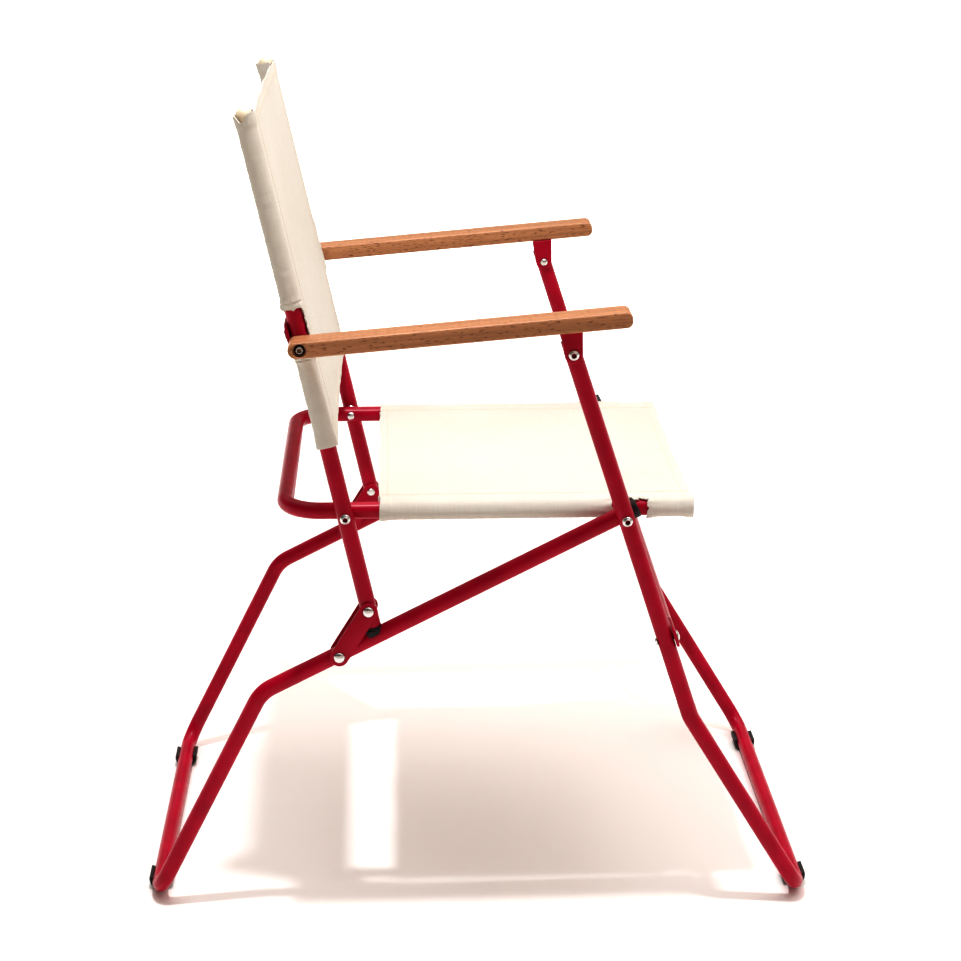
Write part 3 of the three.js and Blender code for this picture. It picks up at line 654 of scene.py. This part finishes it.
def plug_shank():
    """Profile of a plug's shank in its tube, up to the head's rim on the tube's end."""
    return [(0, -PLUG_DEPTH), (BORE, -PLUG_DEPTH), (BORE, GAP), (TUBE_R, GAP)]


def build_rubber():
    for side, sign in SIDES:
        for end, foot in (("front", FRONT_FOOT), ("rear", REAR_FOOT)):
            lo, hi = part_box(f"{end}_foot_pad_{side}")
            stand_in(saddle(f"{end}_foot_saddle_{side}", foot, lo.x, hi.x),
                     f"{end}_foot_pad_{side}")
        build_leg_cap(side, sign * REAR_X)
        flat_head = [(TUBE_R, 0.0018), (TUBE_R - 0.0005, 0.0024), (TUBE_R - 0.0014, 0.0029),
                     (0, 0.003)]
        fit(f"rail_end_plug_{side}", f"seat_rail_cap_{side}", plug_shank() + flat_head,
            off(RAIL_END, sign * SEAT_X), Vector((0, -1, 0)))
        round_head = [(TUBE_R, 0.0055)] + dome(TUBE_R, 0.0055, 0.008, 9)
        fit(f"back_top_plug_{side}", f"back_top_cap_{side}", plug_shank() + round_head,
            off(BACK_TOP, sign * REAR_X), back_up)
        build_foot_plug(side, sign * REAR_X)


def build_leg_cap(side, x):
    """The cap over a rear leg's front tip; heights run from C along the leg."""
    wall = FIT_R + 0.0009
    inside, mouth, end = 0.0107, 0.005, 0.0135
    profile = [(0, inside), (FIT_R, inside), (FIT_R, mouth), (FIT_R + 0.0004, mouth - 0.0004),
               (wall, mouth), (wall, end - 0.0012), (wall - 0.0004, end - 0.0004),
               (wall - 0.0012, end), (0, end)]
    fit(f"leg_tip_cap_{side}", f"rear_leg_cap_{side}", profile, off(C, x), rear_down * -1)


def build_foot_plug(side, x):
    """The plug in a back post's lower end, hollowed to sit on the rear leg."""
    shank, rim, bell, low = 0.005, PLUG_DOWN + GAP, TUBE_R + 0.0013, 0.034
    profile = [(0, shank), (BORE, shank), (BORE, rim), (TUBE_R, rim), (FIT_R, 0.0201),
               (bell - 0.0004, 0.0205), (bell, 0.021), (bell, low), (0, low)]
    plug_piece = turned(f"back_foot_saddle_{side}", profile, off(E, x), back_up * -1)
    leg_r = TUBE_R + GAP
    leg = turned("leg", [(0, 0), (leg_r, 0), (leg_r, 0.5), (0, 0.5)], off(C, x), rear_down, 64)
    carve(plug_piece, leg)
    over_leg = square(rear_down)
    on_leg = C + rear_down * (E - C).dot(rear_down) + over_leg * 0.0030
    under = turned("under", [(0, 0), (0.06, 0), (0.06, 0.08), (0, 0.08)], off(on_leg, x),
                   over_leg * -1)
    carve(plug_piece, under)
    stand_in(plug_piece, f"back_foot_plug_{side}")


# ---- links, bolts and rivets
def hex_socket(point, direction, bottom, radius=0.0026, depth=0.01):
    """The cutter for a hexagon socket."""
    top = bottom + depth
    return turned("socket", [(0, bottom), (radius, bottom), (radius, top), (0, top)],
                  point, direction, 6)


def button_bolt(name, point, outward, seat, shank_end, radius=0.005, height=0.003):
    """Round-headed bolt with a hexagon socket; heights are measured along outward."""
    edge = seat + 0.0008
    profile = [(0, shank_end), (BOLT_R, shank_end), (BOLT_R, seat), (radius - 0.0003, seat),
               (radius, seat + 0.0003), (radius, edge)]
    crown = [(r, h) for r, h in dome(radius, edge, height - 0.0008, 8) if r > 0.0030]
    head = turned(name, profile + crown + [(0.0029, seat + height), (0, seat + height)],
                  point, outward, 48)
    return carve(head, hex_socket(point, outward, seat - 0.0004))


def build_links():
    run = heading(F - E)
    outline = arc(F, LINK_R, run - math.pi / 2, run + math.pi / 2)
    outline += arc(E, LINK_R, run + math.pi / 2, run + 1.5 * math.pi)
    near = TUBE_R + GAP
    far = near + LINK_THICK
    tail = [(0, -far - 0.002), (0.0032, -far - 0.0017), (0.0042, -far - 0.0008),
            (0.0042, -far), (BOLT_R, -far), (BOLT_R, far), (RIVET_R, far)]
    head = dome(RIVET_R, far + 0.0002, 0.0028, 9)
    for side, sign in SIDES:
        for place, a, b in (("outer", near, far), ("inner", -near, -far)):
            link = plate(f"link_plate_{place}_{side}", outline, sign * (REAR_X + a),
                         sign * (REAR_X + b), 0.0006)
            stand_in(link, f"link_{place}_{side}")
        for which, pivot in (("top", E), ("bottom", F)):
            fit(f"link_rivet_{which}_{side}", f"link_{which}_rivet_{side}", tail + head,
                off(pivot, sign * REAR_X), X_AXIS * sign, 40)


def build_bolts():
    cheek = TUBE_R + GAP + BRACKET_THICK
    nut_face = SEAT_X - TUBE_R
    arm_seat = ARM_OUT - ARM_SINK
    nut = [(0, -0.003), (0.0016, -0.0029), (0.0032, -0.0022), (0.0040, -0.001),
           (0.0043, 0), (0, 0)]
    for side, sign in SIDES:
        out = X_AXIS * sign
        for bolt, cad_node, pivot, seat, shank_end, *head in (
                ("front_leg_bolt", "front_pivot_bolt", C, FRONT_X + TUBE_R, FRONT_X - TUBE_R),
                ("back_post_bolt", "seat_pivot_bolt", D, REAR_X + TUBE_R, SEAT_X - TUBE_R),
                ("arm_bracket_bolt", "arm_front_bolt", B, FRONT_X + cheek,
                 FRONT_X - cheek - 0.001),
                ("arm_end_bolt", "arm_rear_bolt", A, arm_seat, ARM_IN, 0.0049, 0.0028)):
            stand_in(button_bolt(f"{bolt}_{side}", pivot, out, seat, shank_end, *head),
                     f"{cad_node}_{side}")
        for name, pivot, face in (("arm_front_nut", B, FRONT_X - cheek),
                                  ("seat_pivot_nut", D, nut_face),
                                  ("front_pivot_nut", C, nut_face)):
            profile = [(r, h + face) for r, h in nut]
            fit(f"{name}_cap_{side}", f"{name}_{side}", profile, pivot, out)
        for name, pivot, x0, x1 in (
                ("arm_washer", A, REAR_X + TUBE_R + 0.0001, ARM_IN - 0.0001),
                ("seat_pivot_washer", D, SEAT_X + TUBE_R, REAR_X - TUBE_R)):
            soft = 0.0003
            disc = [(0, x0), (WASHER_R - soft, x0), (WASHER_R, x0 + soft), (WASHER_R, x1 - soft),
                    (WASHER_R - soft, x1), (0, x1)]
            fit(f"{name}_disc_{side}", f"{name}_{side}", disc, pivot, out)


# ---- arms and brackets
def on_arm(along, up):
    return A + arm_dir * along + arm_up * up


def build_arms():
    r = ARM_THICK / 2
    nose = 0.006
    length = b_on_arm + ARM_AHEAD
    tilt = heading(arm_dir)
    rear = on_arm(r - ARM_BEHIND, 0)
    quarter = math.copysign(math.pi / 2, arm_dir.y)
    outline = arc(rear, r, tilt + math.pi - quarter, tilt + math.pi + quarter, 20)
    for up, a0, a1 in ((-1, -quarter, 0), (1, 0, quarter)):
        corner = on_arm(length - nose, up * (r - nose))
        outline += arc(corner, nose, tilt - a0 * arm_turn, tilt - a1 * arm_turn, 8)
    bottom, hole, mouth = ARM_OUT - ARM_SINK, 0.0062, 0.0072
    sink = [(0, bottom), (hole, bottom), (hole, ARM_OUT - 0.0006),
            (mouth, ARM_OUT + 0.0004), (mouth, ARM_OUT + 0.002), (0, ARM_OUT + 0.002)]
    for side, sign in SIDES:
        arm = plate(f"arm_wood_{side}", outline, sign * ARM_IN, sign * ARM_OUT, 0.0019, 5)
        carve(arm, turned("sink", sink, A, X_AXIS * sign, 48), 30)
        stand_in(arm, f"arm_{side}")


def build_brackets():
    """A strip folded to a U: flange under the arm, cheeks either side of the leg."""
    top = -ARM_THICK / 2
    under = top - BRACKET_THICK
    turn = heading(arm_dir)
    half_turn = arm_turn * math.pi
    cheek = TUBE_R + GAP
    outer = cheek + BRACKET_THICK
    outline = [on_arm(b_on_arm + BRACKET_HALF, top), on_arm(b_on_arm - BRACKET_HALF, top)]
    outline += arc(B, TUBE_R + 0.0004, turn + half_turn, turn + 2 * half_turn, 18)
    wide, deep = 0.03, -0.06
    room = [on_arm(b_on_arm + along, up)
            for along, up in ((wide, under), (-wide, under), (-wide, deep), (wide, deep))]
    screw = [(0, under - 0.0017), (0.0015, under - 0.0016), (0.0028, under - 0.0006),
             (0.003, under), (0.0015, under), (0.0015, 0.002), (0, 0.0026)]
    for side, sign in SIDES:
        bracket = plate(f"arm_bracket_fold_{side}", outline, sign * (FRONT_X - outer),
                        sign * (FRONT_X + outer), 0.0007, 4)
        inside = plate("room", room, sign * (FRONT_X - cheek), sign * (FRONT_X + cheek), 0.0001, 1)
        stand_in(carve(bracket, inside), f"arm_bracket_{side}")
        for label, inset in (("inner", -0.005), ("outer", 0.005)):
            point = off(on_arm(b_on_arm, 0), sign * (FRONT_X + inset))
            fit(f"bracket_screw_head_{label}_{side}", f"bracket_screw_{label}_{side}", screw,
                point, arm_up)


# ---- canvas
class Sling:
    """A canvas sheet sewn into a sleeve round a tube at each side.

    Its middle surface is swept along run; across is +X and out faces the sitter. s is the
    distance round the cross section, from the inner edge of one side's seam flap, round its
    sleeve, over the sheet and round the other; v is the distance along the tubes.
    """

    CLEAR = 0.00985          # room beside a tube for its sleeve, from the tube's centre line
    FLAP = 0.009
    SEAM = 0.017             # tube's centre line to the seam
    BAND = 0.0075            # width of the band folded over round a notch
    BAND_ROW = 0.006         # its stitches, from the notch
    HEM_ROW = 0.0018         # a hem's stitches, from its inner edge
    PITCH = 0.0036           # from stitch to stitch

    def __init__(self, half, sag, length, origin, run, out, seed, gape=0.0):
        self.half, self.sag, self.length, self.gape = half, sag, length, gape
        self.origin, self.run, self.out = (np.array(v) for v in (origin, run, out))
        self.radius = TUBE_R + GAP + CLOTH / 2
        self.reach = half - 0.008
        self.section()
        random = np.random.default_rng(seed)
        self.ripples = [(random.uniform(250, 900), random.uniform(0, 6.28),
                         random.uniform(-90, 90)) for _ in range(9)]
        self.swells = [(random.uniform(8, 26), random.uniform(8, 30),
                        random.uniform(0, 6.28)) for _ in range(6)]

    def sheet_w(self, u):
        """Height of the sagging sheet over the tubes' centre lines."""
        u = np.minimum(np.abs(u), self.reach)
        return self.radius - self.sag * (1 - (u / self.reach) ** 2)

    def section(self):
        """Points (u, w) of the right half, from the flap's edge to the middle of the sheet."""
        seam_u = self.half - self.SEAM
        seam_w = float(self.sheet_w(seam_u)) - CLOTH * 1.05
        flap = [(seam_u - self.FLAP * (1 - k / 4), seam_w - 0.0001 * (4 - k)) for k in range(4)]
        du, dw = seam_u - self.half, seam_w
        leave = math.atan2(dw, du) + math.acos(self.radius / math.hypot(du, dw)) - 2 * math.pi
        touch = (self.half + self.radius * math.cos(leave), self.radius * math.sin(leave))
        line = [(seam_u + (touch[0] - seam_u) * k / 7, seam_w + (touch[1] - seam_w) * k / 7)
                for k in range(7)]
        steps = 34
        loop = [(self.half + self.radius * math.cos(t), self.radius * math.sin(t))
                for t in np.linspace(leave, math.pi / 2, steps)]
        inward = np.linspace(self.half - 0.003, 0, 46)
        sheet = [(u, float(self.sheet_w(u))) for u in inward]
        right = np.array(flap + line + loop + sheet)
        left = right[:-1][::-1] * (-1, 1)
        self.points = np.vstack([right, left])
        lengths = np.linalg.norm(np.diff(self.points, axis=0), axis=1)
        self.s = np.concatenate([[0], np.cumsum(lengths)])
        self.width = self.s[-1]
        self.seam_s = self.s[len(flap)]
        self.loop_start = self.s[len(flap) + len(line)]
        self.loop_end = self.s[len(flap) + len(line) + steps - 1]
        self.top_seam = self.loop_end + self.SEAM - 0.0005
        along = np.gradient(self.points, self.s, axis=0)
        self.normals = np.stack([-along[:, 1], along[:, 0]], axis=1) * -1

    def inward(self, s):
        """Distance from the nearer flap's edge."""
        return np.minimum(s, self.width - s)

    def on_loop(self, d):
        return (d > self.seam_s) & (d < self.loop_end)

    def on_sleeve(self, d):
        """1 on a sleeve's round, fading to 0 on the sheet and at the seam."""
        rise = np.clip((d - self.seam_s) / 0.006, 0, 1)
        fall = np.clip((self.loop_end + 0.012 - d) / 0.02, 0, 1)
        return rise * fall

    def hem_lift(self, edge):
        """A hem's second layer and its stitch line, edge metres from the cloth's end."""
        layer = 0.5 * (1 - np.tanh((edge - self.hem) / 0.0006)) * 0.0009
        return layer - 0.0005 * np.exp(-((edge - self.hem + self.HEM_ROW) / 0.0009) ** 2)

    def seam_lift(self, d):
        """The dip of a seam and the flap's thickness under the sheet beyond it."""
        past = d - self.top_seam
        dip = -0.0003 * np.exp(-(past / 0.0011) ** 2)
        return dip + 0.00035 * (np.tanh(past / 0.004) - np.tanh((past - 0.011) / 0.0015)) / 2

    def notch_lift(self, d, v, out_of):
        """The band round a notch, its stitch line and the puckers they draw."""
        band = 0.5 * (1 - np.tanh((out_of - self.BAND) / 0.0006)) * 0.0013
        pucker = np.sin(d * 900 + v * 60) * 0.0006 * np.exp(-out_of / 0.008)
        line = -0.0012 * np.exp(-((out_of - self.BAND_ROW) / 0.0009) ** 2)
        return (band + pucker + line) * self.on_loop(d)

    def lift(self, s, v):
        """How far the cloth stands out of its smooth shape: hems, seams, ripples, swells."""
        edge = np.minimum(v, self.length - v)
        d = self.inward(s)
        on_sheet = d - self.loop_end
        thin = 1 - 0.8 * np.clip(on_sheet / 0.01, 0, 1)
        ripple = sum(np.sin(f * v + p + k * (d - self.loop_start)) for f, p, k in self.ripples)
        ripple = ripple / len(self.ripples) * 0.0004 * self.on_sleeve(d)
        swell = sum(np.sin(a * s + b * v + c) for a, b, c in self.swells)
        swell = swell / len(self.swells) * 0.0016 * np.clip(on_sheet / 0.05, 0, 1)
        total = self.hem_lift(edge) * thin + self.seam_lift(d) + ripple
        total = total + swell * np.clip(edge / 0.04, 0, 1)
        for start, end in self.notches:
            total = total + self.notch_lift(d, v, outside(start, end, v))
        return total

    def shift(self, s, v):
        """How far the cloth is drawn along the tubes: wavy ends, gape at the plugs, frills."""
        d = self.inward(s)
        wavy = 0.0007 * np.sin(s * 60) + 0.0004 * np.sin(s * 170 + 1)
        total = wavy * np.clip(1 - np.minimum(v, self.length - v) / 0.02, 0, 1)
        side = self.loop_end - self.radius * 1.85
        top = np.clip(1 - (self.length - v) / 0.012, 0, 1)
        total -= self.gape * top * np.exp(-((d - side) / 0.0042) ** 2)
        frill = np.sin(d * 750) * 0.0009 + np.sin(d * 1500 + 1) * 0.0004
        for start, end in self.notches:
            near = np.clip(1 - outside(start, end, v) / 0.004, 0, 1)
            total += frill * near * self.on_loop(d)
        return total

    def place(self, s, v, extra=0.0):
        """Points on the cloth and its outward directions, in the row frame."""
        u, w, nu, nw = (np.interp(s, self.s, column)
                        for column in (*self.points.T, *self.normals.T))
        size = np.hypot(nu, nw)
        nu, nw = nu / size, nw / size
        room = np.minimum(self.CLEAR / np.maximum(np.abs(nu), 0.2), 0.05)
        h = np.minimum(self.lift(s, v), room - self.radius - CLOTH / 2) + extra
        u, w = u + nu * h, w + nw * h
        point = (self.origin + np.multiply.outer(u, (1, 0, 0)) + np.multiply.outer(w, self.out)
                 + np.multiply.outer(v, self.run))
        normal = np.multiply.outer(nu, (1, 0, 0)) + np.multiply.outer(nw, self.out)
        return point, normal

    def row_places(self):
        """v of the mesh's rows: evenly spaced, and on every fold and stitch line."""
        lines = set(np.round(np.arange(0, self.length, 0.0028), 5))
        lines |= {self.hem, self.length - self.hem, self.length}
        for start, end in self.notches:
            lines |= {start, end, start - self.BAND, end + self.BAND,
                      start - self.BAND_ROW, end + self.BAND_ROW}
        v = np.array(sorted(lines))
        v = v[np.concatenate([[True], np.diff(v) > 0.0004])]
        v[-1] = self.length
        return v

    def quads(self, v):
        """Grid corners of the mesh's faces; those inside a notch are left out."""
        d = self.inward(self.s)
        open_s = d > self.seam_s + 0.004
        for i in range(len(self.s) - 1):
            for j in range(len(v) - 1):
                mid = (v[j] + v[j + 1]) / 2
                ends = self.loop_end - 0.0030 + 0.0014 * math.sin(mid * 640)
                opened = open_s[i] and open_s[i + 1] and max(d[i], d[i + 1]) < ends
                if opened and any(a < mid < b for a, b in self.notches):
                    continue
                yield (i, j), (i + 1, j), (i + 1, j + 1), (i, j + 1)

    def build(self, name, hem, notches):
        """The cloth as a closed mesh; a notch leaves a stretch of both sleeves open."""
        self.hem, self.notches = hem, notches
        v = self.row_places()
        s_grid, v_grid = np.meshgrid(self.s, v, indexing="ij")
        points, _ = self.place(s_grid, v_grid)
        points += self.shift(s_grid, v_grid)[..., None] * self.run
        index = np.arange(s_grid.size).reshape(s_grid.shape)
        quads = list(self.quads(v))
        faces = [[index[corner] for corner in quad] for quad in quads]
        uvs = [(self.s[i], v[j]) for quad in quads for i, j in quad]
        self.area = sum((self.s[i + 1] - self.s[i]) * (v[j + 1] - v[j]) for (i, j), *_ in quads)
        mesh = bpy.data.meshes.new(name)
        mesh.from_pydata(points.reshape(-1, 3).tolist(), [], faces)
        layer = mesh.uv_layers.new(name="cloth")
        layer.data.foreach_set("uv", np.array(uvs, np.float32).ravel())
        edit_mesh(mesh, drop_loose)
        obj = add_object(name, mesh)
        solid = obj.modifiers.new("cloth", "SOLIDIFY")
        solid.thickness = CLOTH
        solid.offset = 0
        settle(obj)
        shade(obj, 50)
        return obj

    def stitches(self, name, rows):
        """Thread dashes along rows; a row is two (s, v) ends and the face it shows on."""
        verts, faces = [], []
        for (s0, v0), (s1, v1), face in rows:
            count = max(1, int(math.hypot(s1 - s0, v1 - v0) / self.PITCH))
            for k in range(count):
                t = np.array([k + 0.12, k + 0.3, k + 0.5, k + 0.7, k + 0.88]) / count
                s, v = s0 + (s1 - s0) * t, v0 + (v1 - v0) * t
                if self.inside_notch(s, v):
                    continue
                point, normal = self.place(s, v, face * (CLOTH / 2 + 0.00005))
                if np.abs(normal[:, 0]).max() <= 0.8:        # else too near the tube beside it
                    add_stitch(verts, faces, point, normal * face)
        obj = mesh_object(name, verts, faces, 60)
        obj.data.materials.append(THREAD)
        return obj

    def inside_notch(self, s, v, margin=0.002):
        on_loop = self.on_loop(self.inward(s))
        return any(np.any(on_loop & (v > a - margin) & (v < b + margin)) for a, b in self.notches)

    def rows(self):
        """Stitch rows: hems at both ends, seams along the sleeves, hems of the notches."""
        first, last = self.seam_s + 0.001, self.width - self.seam_s - 0.001
        result = []
        for v in (self.hem - self.HEM_ROW, self.length - self.hem + self.HEM_ROW):
            result += [((first, v), (last, v), face) for face in (1, -1)]
        for d in (self.top_seam, self.top_seam + 0.003, self.FLAP * 0.45):
            for s in (d, self.width - d):
                result.append(((s, 0.002), (s, self.length - 0.002), 1))
        a, b = self.seam_s + 0.004, self.loop_end - 0.001
        for start, end in self.notches:
            for v in (start - self.BAND_ROW, end + self.BAND_ROW):
                result.append(((a, v), (b, v), 1))
                result.append(((self.width - a, v), (self.width - b, v), 1))
        return result


def outside(start, end, v):
    """How far v is outside a notch."""
    return np.maximum(np.maximum(start - v, v - end), 0)


def add_stitch(verts, faces, points, normals, sides=6, thread=0.00032):
    """Adds one dash of thread, thin at both ends, through the points."""
    ahead = np.gradient(points, axis=0)
    ahead /= np.linalg.norm(ahead, axis=1)[:, None]
    across = np.cross(ahead, normals)
    base = len(verts)
    for i, size in enumerate(np.array([0.25, 0.9, 1.0, 0.9, 0.25]) * thread):
        for a in range(sides):
            angle = 2 * math.pi * a / sides
            verts.append(points[i] + (across[i] * math.cos(angle)
                                      + normals[i] * math.sin(angle)) * size)
    last = (len(points) - 1) * sides
    for ring in range(base, base + last, sides):
        faces += band(ring, ring + sides, sides)
    faces.append(tuple(base + a for a in range(sides)))
    faces.append(tuple(base + last + a for a in reversed(range(sides))))


def build_canvas():
    lo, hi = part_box("seat_fabric")
    seat = Sling(SEAT_X, sag=0.005, length=hi.y - lo.y, origin=(0, lo.y, C.z), run=(0, 1, 0),
                 out=(0, 0, 1), seed=5)
    notch = (C.y - NOTCH_LONG - lo.y, C.y + NOTCH_SHORT - lo.y)
    cloth = seat.build("seat_canvas", hem=0.010, notches=[notch])
    hang_cloth(cloth, seat, "seat_fabric")

    start, end = 0.071, 0.3888
    back = Sling(REAR_X, sag=0.002, length=end - start, origin=D + back_up * start, run=back_up,
                 out=back_face, seed=8, gape=0.0085)
    notch = ((A - D).length - NOTCH_SHORT - start, (BACK_RUNG - D).length + NOTCH_LONG - start)
    cloth = back.build("back_canvas", hem=0.011, notches=[notch])
    hang_cloth(cloth, back, "back_fabric")


def hang_cloth(cloth, sling, cad_node):
    stand_in(cloth, cad_node)
    thread = sling.stitches(cloth.name.replace("canvas", "stitching"), sling.rows())
    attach(thread, BODY_OF[cad_node])


# ---- floor, light and camera
def build_stage():
    """A pale floor, with painted shade darkening it to the sitter's right, glowing further out
    with painted light.
    """
    mesh = bpy.data.meshes.new("floor")
    size = 40
    mesh.from_pydata([(-size, -size, 0), (size, -size, 0), (size, size, 0), (-size, size, 0)],
                     [], [(0, 1, 2, 3)])
    floor = add_object("floor", mesh)
    mat, tree, shader = material("white_floor")
    ground = node(tree, "ShaderNodeTexCoord").outputs["Object"]
    far = node(tree, "ShaderNodeVectorMath", {0: ground}, operation="LENGTH").outputs["Value"]
    x = node(tree, "ShaderNodeSeparateXYZ", {"Vector": ground}).outputs["X"]
    # painted shade: the floor's colour darkens from x = -0.35 to -1.5, standing in for shade on
    # that side
    clear_of_painted_shade = eased(tree, x, -1.5, -0.35)
    # painted light: an emission stands in for lamp light on the far floor, only where it is clear
    # of the painted shade
    glow = eased(tree, far, 1.1, 2.7, 0.0, 0.7)
    dress(tree, shader, {
        "Base Color": mixed(tree, clear_of_painted_shade, (0.70, 0.65, 0.59), (0.98, 0.965, 0.95)),
        "Roughness": 0.75, "Specular IOR Level": 0.2,
        "Emission Color": (0.93, 0.97, 1, 1),
        "Emission Strength": maths(tree, "MULTIPLY", glow, clear_of_painted_shade)})
    floor.data.materials.append(mat)


def aim(obj, direction):
    obj.rotation_euler = direction.to_track_quat("-Z", "Y").to_euler()


def build_light():
    """A small lamp high over the chair."""
    lamp = bpy.data.lights.new("key", "AREA")
    lamp.shape = "DISK"
    lamp.size = 0.07
    lamp.energy = 17
    lamp.color = (0.96, 0.98, 1.0)
    key = add_object("key", lamp)
    key.location = (-0.318, 0.138, 2.132)
    aim(key, Vector((0, 0, 0.3)) - key.location)


def build_world():
    """The room's light: from overhead and the sitter's front left, and a band of pale wall."""
    world = bpy.data.worlds.new("studio")
    bpy.context.scene.world = world
    world.use_nodes = True
    tree = world.node_tree
    direction = node(tree, "ShaderNodeTexCoord").outputs["Generated"]
    z = node(tree, "ShaderNodeSeparateXYZ", {"Vector": direction}).outputs["Z"]
    height = maths(tree, "MAXIMUM", z, 0.0)
    overhead = maths(tree, "MULTIPLY", maths(tree, "POWER", height, 2.5), 2.32)
    front_left = node(tree, "ShaderNodeVectorMath", {0: direction, 1: (0.75, -0.66, 0)},
                      operation="DOT_PRODUCT").outputs["Value"]
    strength = maths(tree, "MULTIPLY", maths(tree, "ADD", overhead, 0.05),
                     eased(tree, front_left, -0.5, 0.3, 0.20, 1.34))
    wall = eased(tree, z, 0.10, 0.30, 0.72, 0.0)
    dress(tree, tree.nodes["Background"], {
        "Color": mixed(tree, height, (1.0, 0.84, 0.71), (1.0, 0.965, 0.94)),
        "Strength": maths(tree, "ADD", strength, wall)})


def build_camera():
    """The view of the photograph: from the sitter's right, a little behind and above."""
    yaw, pitch = math.radians(2.303), math.radians(17.683)
    scene = bpy.context.scene
    camera = add_object("camera", bpy.data.cameras.new("camera"))
    camera.location = (-2.16896, 0.07795, 1.06956)
    aim(camera, Vector((math.cos(pitch) * math.cos(yaw), -math.cos(pitch) * math.sin(yaw),
                        -math.sin(pitch))))
    camera.data.sensor_width = 36
    camera.data.lens = 82.957
    camera.data.clip_end = 100
    scene.camera = camera
    scene.view_settings.view_transform = "Standard"
    scene.view_settings.look = "Medium High Contrast"
    scene.view_settings.gamma = 0.76


build_camera()
build_light()
build_world()
build_stage()
build_frames()
build_rungs()
build_rubber()
build_links()
build_bolts()
build_arms()
build_brackets()
build_canvas()
